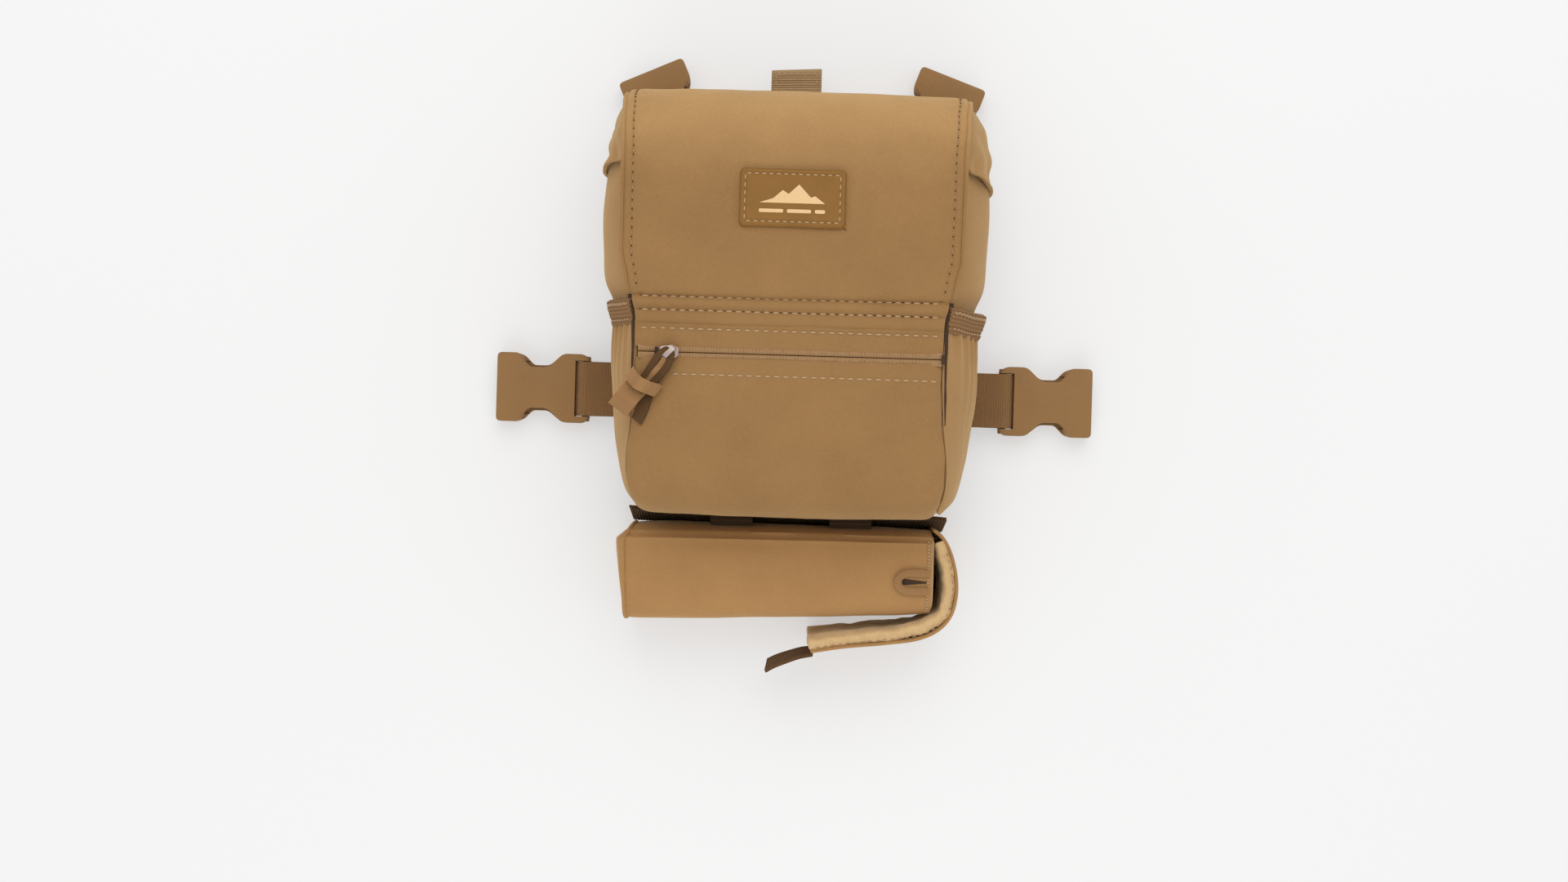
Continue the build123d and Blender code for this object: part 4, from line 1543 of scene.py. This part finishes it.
def make_buckle(name, x, y, turn):
    """The female half of a side-release buckle, with its bar, side notches and open mouth."""
    body = plate("body", rounded(both_halves(buckle_half(NECK)), 2.2), 2.6, DEEP, 0.7, 3)
    base = plate("base", rounded(both_halves(buckle_half(NECK + 1.1, 0.9)), 2.0), 0, 2.5, 0.5, 2)
    slot_x = BAR_OUT + 5.0
    for part in (body, base):
        cut(part, brick(REAR - 2, slot_x, -13.1, 13.1, -1, DEEP + 1))
        cut(part, brick(REAR + 16.5, MOUTH + 1, -12.6, 12.6, 1.7, DEEP - 1.7))
    spine_outline = rounded([(31, -7.6), (40, -7.6), (40, 7.6), (31, 7.6)], 1.0)
    spine = plate("spine", spine_outline, 2.3, 2.8, 0)
    arms = [
        buckle_strip("arm", REAR + 1, slot_x + 3, 13.3, 15.3, s) for s in (1, -1)
    ]
    blocks = [
        buckle_strip("rim", MOUTH - 8, MOUTH - 0.8, 12.8, 15.4, s) for s in (1, -1)
    ]
    clear_selection()
    bpy.ops.mesh.primitive_cylinder_add(
        vertices=24, radius=1.85 * MM, depth=28 * MM, location=(BAR_OUT * MM, 0, 5.0 * MM),
        rotation=(math.pi / 2, 0, 0),
    )
    bar = fresh("bar")
    pick(bar)
    bpy.ops.object.transform_apply(location=True, rotation=True, scale=True)
    buckle = join(name + "_buckle_body", [body, base, spine, *arms, *blocks, bar])
    smooth(buckle, 35)
    place(buckle, x, y, turn)
    dress(buckle, name + "_buckle", "buckle_plastic", (name + "_buckle",))


# ---------------------------------------------------------------- glasses case

# The case's section at its left end, as (y, z), from the front's upper seam downwards
CASE_SECTION = [
    (-65.8, 43.6), (-70.0, 44.9), (-78.0, 45.6), (-88.0, 45.7), (-97.0, 44.8), (-102.4, 42.2),
    (-105.0, 37.0), (-105.8, 28.0), (-105.8, 16.0), (-104.6, 6.0), (-101.0, 1.6), (-93.0, 0.6),
    (-83.0, 0.4), (-73.0, 0.6), (-66.6, 2.0), (-63.4, 8.0), (-61.8, 18.0), (-61.4, 28.0),
    (-62.2, 37.0), (-64.0, 41.4),
]
CASE_LEFT, CASE_SEAM, CASE_MOUTH = -80.4, -75.8, 64.2
CASE_TOP, CASE_HIGH = -61.6, 43.0


def end_lean(y):
    """How far the case's left seam stands in, most at the cut corner by the pack."""
    drop = CASE_TOP - y
    return 4.5 * max(0.0, 1 - drop / 7.5) + 1.9 * drop / CASE_HIGH


def end_bulge(y):
    """How far the case's closed end stands out from its seam: nothing at the foot."""
    drop = max(CASE_TOP - y, 0.0)
    full = min(1.0, drop / 7.0) ** 0.8 * max(0.0, 1 - max(drop - 7, 0) / (CASE_HIGH - 6)) ** 0.7
    return (CASE_SEAM - CASE_LEFT) * 0.95 * full


def case_point(x, share, inset=0.0):
    """A point of the case's cover at x, a share of the way round its section."""
    y, z = CASE_RING.at(share * CASE_RING.length)
    ahead = CASE_RING.ahead(share * CASE_RING.length)
    slope = (x - CASE_SEAM) / (CASE_MOUTH - CASE_SEAM)
    narrow = 1 - 0.13 * slope
    y = CASE_TOP + (y - CASE_TOP) * narrow
    ends = math.exp(-(x - CASE_SEAM) / 7) + 0.6 * math.exp(-(CASE_MOUTH - x) / 10)
    lift = 0.5 - 1.1 * ends + 0.5 * crumple(x, share * 160, 24, 60.0) - inset
    round_it = share * CASE_RING.length % CASE_RING.length
    seam = bump(round_it - 0.5, 0.8) + bump(round_it - 0.5 - CASE_RING.length, 0.8)
    ridge = bump(round_it - 2.4, 1.2)
    lift += (0.5 * ridge - 1.1 * seam) * (inset == 0)
    z_new = z + ahead.x * -lift
    x += end_lean(y) * max(0.0, 1 - max(x - CASE_SEAM, 0.0) / 25)
    return Vector((x, y + ahead.y * lift, max(z_new, 0.25 + inset)))


CASE_RING = Route(CASE_SECTION, closed=True)


def make_case():
    rim = CASE_RING.length

    def cover_shape(u, v):
        point = case_point(CASE_SEAM + (CASE_MOUTH - CASE_SEAM) * v, u % 1.0)
        return at(*point)

    cover = cloth("case_cover", cover_shape, 130, 100, 0, (rim, 140))
    close_seam(cover)
    apply_modifier(cover, "SOLIDIFY", thickness=2.0 * MM, offset=-1)
    if facing(cover) < 0:
        cover.data.flip_normals()
    smooth(cover)
    walls = ("case_front_wall", "case_back_wall", "case_top_wall", "case_bottom_wall")
    dress(cover, "glasses_case", "case_fabric", walls)

    def end_shape(u, v):
        rim_point = case_point(CASE_SEAM, u % 1.0)
        point = Vector((0, -83.4, 22.5)).lerp(rim_point, 0.02 + 0.965 * v)
        swell_out = end_bulge(point.y) * math.sqrt(max(0.0, 1 - v ** 4))
        return at(CASE_SEAM + end_lean(point.y) - 0.3 - swell_out, point.y, point.z)

    end = cloth("case_end", end_shape, 80, 22, 1.8, (rim, 30))
    close_seam(end)
    dress(end, "glasses_case", "case_fabric", ("case_end_wall",))

    ring = [case_point(CASE_SEAM - 0.2, i / 90) for i in range(91)]
    cord = piping("case_piping", [at(*p) for p in ring], 0.95)
    dress(cord, "glasses_case", "case_fabric")

    def inner_shape(u, v):
        x = -73.0 + (CASE_MOUTH + 0.6 + 73.0) * v
        curl = 0.9 * math.exp(-(CASE_MOUTH + 0.6 - x) / 1.2)
        point = case_point(x, u % 1.0, 2.4 - curl + 0.3 * crumple(u * 150, x, 7, 61.0))
        return at(*point)

    inner = cloth("case_fleece", inner_shape, 120, 80, 1.3, (rim, 136))
    dress(inner, "glasses_case", "fleece", ("case_lining",))

    # A tongue of lining under the mouth, near black for the painted shade where the floor shows
    # between the case and its flap.
    def tongue_shape(u, v):
        return at(61.5 + 9.5 * u, -101 + 40.5 * v, 2.4 + 0.4 * crumple(u * 9, v * 36, 5, 62.0))

    tongue = cloth("case_mouth_tongue", tongue_shape, 12, 30, 1.2, (9.5, 36))
    dress(tongue, "glasses_case", "seam_dark")

    def front_seam(a, b):
        return at(*case_point(a, b / rim))

    pairs = []
    for i in range(22):
        s = 1.2 + i * 1.72
        pairs.append((Vector((CASE_MOUTH - 2.3, s)), Vector((CASE_MOUTH - 1.1, s + 1.2))))
    sew("case_mouth_stitches", front_seam, pairs, "glasses_case", holes=0, outward=-1,
        radius=0.42, thread="thread")


def make_case_loop():
    """A flat ribbon loop sewn in beside the mouth."""
    line = Route([
        (63.0, -80.6, 46.4), (58.0, -80.4, 46.8), (52.6, -80.6, 47.2), (49.6, -82.4, 47.4),
        (48.9, -84.6, 47.4), (49.8, -86.8, 47.4), (52.8, -88.4, 47.2), (58.0, -88.6, 46.8),
        (63.0, -88.4, 46.4),
    ])
    thick, wide = 2.6, 3.6

    def shape(u, v):
        distance = u * line.length
        point, ahead = line.at(distance), line.ahead(distance)
        side = Vector((-ahead.y, ahead.x, 0)).normalized()
        round_z = 0.5 * (1 - (2 * v - 1) ** 4)
        return at(*(point + side * (v - 0.5) * wide + Vector((0, 0, round_z))))

    loop = cloth("case_loop_ribbon", shape, 60, 8, thick, (line.length, wide))
    dress(loop, "glasses_case", "pull_ribbon", ("case_front_loop",))
    # A near-black plate under the loop paints the loop's shadow.
    slot = rounded([
        (50.6, -86.0), (55, -85.6), (62, -84.9), (62, -84.2), (55, -83.4), (50.6, -83.0),
    ], 0.3)
    pocket = plate("case_loop_shadow", slot, 45.2, 46.2, 0.2)
    pocket.data.transform(Matrix.Translation((0, BASE_Y, 0)))
    dress(pocket, "glasses_case", "seam_dark")


def make_band():
    """Webbing under the pack, held by the case's two straps; both are near black for the painted
    shade of the gap between the pocket and the case.
    """
    line = Route([(-73.4, -58.4, 24.5), (-60, -58.8, 24.5), (-20, -59.3, 24.5), (20, -58.9, 24.5),
                  (60, -59.3, 24.5), (71.0, -59.9, 24.5)])
    band = ribbon("bottom_band_webbing", line, 25.4, 1.5, (0, 0.25, 1), rib=1.3, rib_height=0.16,
                  rows=16, step=0.33)
    dress(band, "pack", "shaded_band_webbing", ("bottom_band",))
    for x, name in ((-27, "left"), (27, "right")):
        ring = Route([
            (x, -60.6, 24), (x, -60.6, 36), (x, -59.4, 39.4), (x, -57.0, 39.2), (x, -56.2, 36),
            (x, -56.0, 24), (x, -56.2, 13), (x, -57.2, 10.2), (x, -59.6, 10.2), (x, -60.6, 13),
        ], closed=True)
        loop = ribbon("case_strap_" + name, ring, 19, 1.0, (1, 0, 0), rib=1.2, rib_height=0.1,
                      rows=14, step=0.4)
        dress(loop, "glasses_case", "shaded_strap_webbing",
              ("case_attach_straps",) if name == "left" else ())


# ---------------------------------------------------------------- case flap

FLAP_LINE = Route([
    (65.2, -60.2), (69.6, -64.0), (73.4, -70.6), (76.0, -80.0), (76.6, -90.0), (74.4, -99.6),
    (68.4, -106.6), (58.6, -110.8), (44.0, -112.6), (26.0, -114.4), (10.4, -116.6),
])
FLAP_LOW, FLAP_HIGH = 1.6, 43.2


def flap_point(distance, z, depth):
    """A point of the flap, depth inwards from its outer face."""
    x, y = FLAP_LINE.at(distance)
    ahead = FLAP_LINE.ahead(distance)
    outward = Vector((-ahead.y, ahead.x)) * -1
    share = distance / FLAP_LINE.length
    lean = 3.0 * max(0.0, share - 0.35) * (z / FLAP_HIGH)
    move = lean - depth
    return x - outward.x * move, y - outward.y * move, z


def make_flap():
    length = FLAP_LINE.length

    def outer_shape(u, v):
        s, z = (1 - u) * length, FLAP_LOW + (FLAP_HIGH - FLAP_LOW - 0.6) * v
        x, y, z = flap_point(s, z, 0.25 * crumple(s, z, 18, 70.0))
        return at(x, y, z)

    outer = cloth("flap_outer", outer_shape, 90, 26, 1.6, (length, 41), rounded=True)
    dress(outer, "case_flap", "case_fabric", ("flap_panel",))

    def inner_shape(u, v):
        s = 5.0 + (length - 4.4) * u
        z = FLAP_LOW + 0.6 + (FLAP_HIGH + 0.2 - FLAP_LOW) * v
        rim = min(v, 1 - v) * 41
        puff = 1.6 * (1 - math.exp(-rim / 2.0))
        depth = 1.7 + 4.0 + puff + 0.9 * crumple(s, z, 8, 71.0) + 0.4 * crumple(s, z, 3, 73.0)
        depth += 1.6 * bump(s - 60, 9) * v
        depth *= min(1.0, 0.6 + s / 30)
        x, y, z = flap_point(s, z + 0.3 * crumple(s, 0, 5, 72.0), depth)
        return at(x, y, z)

    inner = cloth("flap_fleece", inner_shape, 96, 26, 5.4, (length, 41), rounded=True)
    if facing(inner) < 0:
        inner.data.flip_normals()
    dress(inner, "case_flap", "fleece", ("flap_lining",))

    def top_face(a, b):
        x, y, z = flap_point(a, FLAP_HIGH + 0.3, b)
        return at(x, y, z)

    row = walk([(12, 2.6), (length - 2, 2.6)], 3.4, 2.2)
    sew("flap_stitches", top_face, row, "case_flap", outward=-1, holes=0, radius=0.26,
        thread="brown_thread")


def make_flap_ribbon():
    """The folded ribbon at the flap's tip, with a half twist."""
    line = Route([
        (12.0, -118.6, 23), (6.0, -119.6, 24), (0.0, -121.4, 26), (-5.4, -123.4, 27),
        (-9.6, -125.6, 27.4),
    ])

    def shape(u, v):
        point = line.at(u * line.length)
        turn = math.radians(101 + 7 * u)
        side = Vector((0.25 * math.cos(turn), math.cos(turn), math.sin(turn))).normalized()
        return at(*(point + side * (v - 0.5) * 13))

    loop = cloth("flap_pull_ribbon", shape, 70, 14, 1.5, (line.length, 13))
    dress(loop, "case_flap", "pull_dark", ("flap_ribbon",))


# ---------------------------------------------------------------- back of the pack

PAD_HALF = [(58, -50), (68, -42), (73, -18), (75, 40), (79, 60), (80, 84), (51, 96.8), (28, 107)]
PANEL_HALF = [(60, -52), (70, -43), (74, -18), (76, 40), (81, 60), (83, 92), (82, 108), (76, 127)]


def mirrored(half):
    """A closed outline from its right half, listed upwards, with soft corners."""
    return rounded([*half, *[(-x, y) for x, y in reversed(half)]], 7.0)


def in_place(piece):
    piece.data.transform(Matrix.Translation((0, BASE_Y, 0)))
    return piece


def make_back():
    inside = mirrored([(x - 1.6, y) for x, y in PAD_HALF])
    pad = in_place(plate("back_pad_mesh", inside, 1.6, 6.6, 1.2, 3))
    swell(pad, 4.5, 4.0, 3.0)
    low, high = 0.25 * MM, 7.8 * MM
    for vertex in pad.data.vertices:
        x, y = vertex.co.x / MM, (vertex.co.y - BASE_Y) / MM
        channels = sum(bump(y - line, 3.0) for line in (-22, 22, 62)) + bump(abs(x) - 34, 3.0)
        drop = 1.9 * min(channels, 1.2) * MM
        if vertex.co.z < 4 * MM:
            vertex.co.z += drop
        vertex.co.z = min(max(vertex.co.z, low), high)
    apply_modifier(pad, "SUBSURF", levels=1, render_levels=1)
    dress(pad, "pack", "spacer_mesh", ("back_pad",))
    smooth(pad, 80)
    outline = mirrored(PAD_HALF)
    edge = [at(p.x, p.y, 6.2) for p in outline] + [at(outline[0].x, outline[0].y, 6.2)]
    cord = piping("back_pad_binding", edge, 1.7)
    dress(cord, "pack", "elastic")
    panel = in_place(plate("back_panel_cloth", mirrored(PANEL_HALF), 8.4, 11.8, 1.0, 3))
    dress(panel, "pack", "face_fabric", ("back_panel",))

    def lining_shape(u, v):
        y = -44 + 152 * v
        half = read([(-44, 56), (10, 66), (38, 68), (58, 76), (110, 77)], y)
        x = (2 * u - 1) * half
        return at(x, y, 13.6 + 0.35 * crumple(x, y, 12, 80.0))

    lining = cloth("back_fleece", lining_shape, 50, 50, 1.3, (140, 152))
    dress(lining, "pack", "main_lining", ("back_lining",))


INNER_NODES = {
    "back_stiffener": "stiff_sheet", "lid_stiffener": "stiff_sheet",
    "back_magnets": "magnet_steel",
    "lid_magnets": "magnet_steel", "case_magnet": "magnet_steel", "flap_magnet": "magnet_steel",
    "strap_bases": "dark_webbing", "zipper_stops": "seam_dark", "band_tacks": "seam_dark",
}


def finish_inner_nodes():
    """Finishes for the plain pieces between the layers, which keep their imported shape."""
    for name, material in INNER_NODES.items():
        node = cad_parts[name]
        node.data.materials.clear()
        node.data.materials.append(finish(material))


# ---------------------------------------------------------------- stage


def make_stage():
    scene = bpy.context.scene
    sizes = scene.pack_sizes
    clear_selection()
    bpy.ops.mesh.primitive_plane_add(size=6, location=at(0, 0, -0.2))
    floor = fresh("floor")
    floor.data.materials.append(finish("floor_paper"))

    camera_data = bpy.data.cameras.new("camera")
    camera = bpy.data.objects.new("camera", camera_data)
    scene.collection.objects.link(camera)
    camera.location = at(-4.2, -22.6, sizes.camera_height / MM)
    camera.rotation_euler = (0, 0, math.radians(1.7))
    camera_data.lens = sizes.lens
    camera_data.sensor_width = 36
    camera_data.clip_start = 0.01
    camera_data.dof.use_dof = False
    scene.camera = camera

    world = bpy.data.worlds.new("studio")
    world.use_nodes = True
    background = world.node_tree.nodes["Background"]
    background.inputs["Color"].default_value = (1.0, 1.0, 1.0, 1)
    background.inputs["Strength"].default_value = sizes.dome
    scene.world = world
    lamps = (
        ("top_light", (0.1, 0.95, 1.25), 1.3, sizes.lamp, (1.0, 1.0, 0.99)),
        ("low_light", (-0.1, -1.3, 0.8), 1.3, sizes.lamp * 0.6, (1.0, 1.0, 0.99)),
    )
    for name, place_at, wide, power, colour in lamps:
        lamp_data = bpy.data.lights.new(name, "AREA")
        lamp_data.size = wide
        lamp_data.energy = power
        lamp_data.color = colour
        lamp = bpy.data.objects.new(name, lamp_data)
        lamp.location = place_at
        aim = at(0, 20, 40) - lamp.location
        lamp.rotation_euler = aim.to_track_quat("-Z", "Y").to_euler()
        scene.collection.objects.link(lamp)
    scene.view_settings.view_transform = "Standard"


# ---------------------------------------------------------------- add-on


def colour_of(name, description, default):
    return FloatVectorProperty(
        name=name, description=description, default=default, size=3, min=0, max=1, subtype="COLOR"
    )


class PackTones(bpy.types.PropertyGroup):
    """Colours of the pack's materials."""

    face: colour_of("Face fabric", "Brushed cloth of the pack", (0.306, 0.168, 0.066))
    fleece: colour_of("Fleece", "Pile inside the glasses case and its flap", (0.66, 0.44, 0.21))
    webbing: colour_of("Webbing", "Ribbed webbing of the tabs", (0.241, 0.129, 0.054))
    # The dark tone also paints the shade on the band, the case's straps, the seam tapes and the
    # other near-black gap pieces.
    dark: colour_of("Dark webbing", "Band, seam tapes and pull", (0.075, 0.037, 0.015))
    plastic: colour_of("Buckles", "Moulded plastic", (0.270, 0.146, 0.052))
    patch: colour_of("Patch", "Leather patch on the lid", (0.25, 0.122, 0.031))
    thread: colour_of("Thread", "Light stitches", (0.45, 0.29, 0.145))


class PackSizes(bpy.types.PropertyGroup):
    """Where the scene is seen from and how it is lit."""

    camera_height: FloatProperty(
        name="Camera height", description="Height of the camera over the floor", default=0.9,
        min=0.3, unit="LENGTH",
    )
    lens: FloatProperty(
        name="Lens", description="Focal length of the camera", default=43.5, min=10, unit="CAMERA"
    )
    dome: FloatProperty(
        name="Dome", description="Strength of the white surroundings", default=0.8, min=0
    )
    lamp: FloatProperty(
        name="Lamp", description="Power of the large lamp above the lid", default=9.0, min=0,
        unit="POWER",
    )


class PieceOperator:
    """What every operator here shares."""

    bl_options = {"REGISTER", "UNDO"}

    def run(self, *makers):
        for maker in makers:
            maker()
        return {"FINISHED"}


class PACK_OT_stage(PieceOperator, bpy.types.Operator):
    """Floor, lights and camera"""

    bl_idname = "pack.stage"
    bl_label = "Stage"

    def execute(self, context):
        return self.run(make_stage)


class PACK_OT_lid(PieceOperator, bpy.types.Operator):
    """Lid cover with its side seams"""

    bl_idname = "pack.lid"
    bl_label = "Lid"

    def execute(self, context):
        return self.run(make_lid_cover)


class PACK_OT_wings(PieceOperator, bpy.types.Operator):
    """Stretch wings that close the lid's sides"""

    bl_idname = "pack.wings"
    bl_label = "Lid wings"

    def execute(self, context):
        return self.run(make_wings)


class PACK_OT_lid_trim(PieceOperator, bpy.types.Operator):
    """Patch, pull tab and lining of the lid"""

    bl_idname = "pack.lid_trim"
    bl_label = "Lid trim"

    def execute(self, context):
        return self.run(make_patch, make_pull_tab, make_lid_lining)


class PACK_OT_front(PieceOperator, bpy.types.Operator):
    """Fold, yoke and front pocket"""

    bl_idname = "pack.front"
    bl_label = "Front pocket"

    def execute(self, context):
        return self.run(make_front, make_seam_tapes)


class PACK_OT_zip(PieceOperator, bpy.types.Operator):
    """Zip, slider and knotted pull"""

    bl_idname = "pack.zip"
    bl_label = "Zip"

    def execute(self, context):
        return self.run(make_zip, make_slider, make_pull)


class PACK_OT_tub(PieceOperator, bpy.types.Operator):
    """Walls of the main compartment"""

    bl_idname = "pack.tub"
    bl_label = "Tub"

    def execute(self, context):
        return self.run(make_tub)


class PACK_OT_side_pockets(PieceOperator, bpy.types.Operator):
    """Stretch side pockets with elastic bindings"""

    bl_idname = "pack.side_pockets"
    bl_label = "Side pockets"

    def execute(self, context):
        return self.run(make_side_pockets)


class PACK_OT_tabs(PieceOperator, bpy.types.Operator):
    """Webbing tabs"""

    bl_idname = "pack.tabs"
    bl_label = "Webbing tabs"

    def execute(self, context):
        return self.run(make_tabs)


class PACK_OT_buckles(PieceOperator, bpy.types.Operator):
    """Side-release buckles"""

    bl_idname = "pack.buckles"
    bl_label = "Buckles"

    def execute(self, context):
        for name, (x, y, turn) in STRAPS.items():
            make_buckle(name, x, y, turn)
        return {"FINISHED"}


class PACK_OT_case(PieceOperator, bpy.types.Operator):
    """Glasses case, its loop and the band that it hangs from"""

    bl_idname = "pack.glasses_case"
    bl_label = "Glasses case"

    def execute(self, context):
        return self.run(make_case, make_case_loop, make_band)


class PACK_OT_flap(PieceOperator, bpy.types.Operator):
    """Fleece-lined flap of the glasses case"""

    bl_idname = "pack.flap"
    bl_label = "Case flap"

    def execute(self, context):
        return self.run(make_flap, make_flap_ribbon)


class PACK_OT_back(PieceOperator, bpy.types.Operator):
    """Mesh back pad, back panel and lining"""

    bl_idname = "pack.back"
    bl_label = "Back"

    def execute(self, context):
        return self.run(make_back)


class PACK_OT_inner(PieceOperator, bpy.types.Operator):
    """Finishes of the stiffeners, magnets and tapes inside"""

    bl_idname = "pack.inner"
    bl_label = "Inner pieces"

    def execute(self, context):
        return self.run(finish_inner_nodes)


OPERATORS = (
    PACK_OT_stage, PACK_OT_lid, PACK_OT_wings, PACK_OT_lid_trim, PACK_OT_front, PACK_OT_zip,
    PACK_OT_tub, PACK_OT_side_pockets, PACK_OT_tabs, PACK_OT_buckles, PACK_OT_case,
    PACK_OT_flap, PACK_OT_back, PACK_OT_inner,
)


class PACK_PT_panel(bpy.types.Panel):
    """Makes the pack piece by piece."""

    bl_label = "Harness pack"
    bl_space_type = "VIEW_3D"
    bl_region_type = "UI"
    bl_category = "Harness pack"

    def draw(self, context):
        for group in (context.scene.pack_tones, context.scene.pack_sizes):
            for name in group.__annotations__:
                self.layout.prop(group, name)
        for operator in OPERATORS:
            self.layout.operator(operator.bl_idname)


CLASSES = (PackTones, PackSizes, *OPERATORS, PACK_PT_panel)


def register():
    for made in CLASSES:
        bpy.utils.register_class(made)
    bpy.types.Scene.pack_tones = PointerProperty(type=PackTones)
    bpy.types.Scene.pack_sizes = PointerProperty(type=PackSizes)


def unregister():
    del bpy.types.Scene.pack_sizes
    del bpy.types.Scene.pack_tones
    for made in reversed(CLASSES):
        bpy.utils.unregister_class(made)


def main():
    register()
    for operator in OPERATORS:
        group, action = operator.bl_idname.split(".")
        getattr(getattr(bpy.ops, group), action)()


if __name__ == "__main__":
    main()
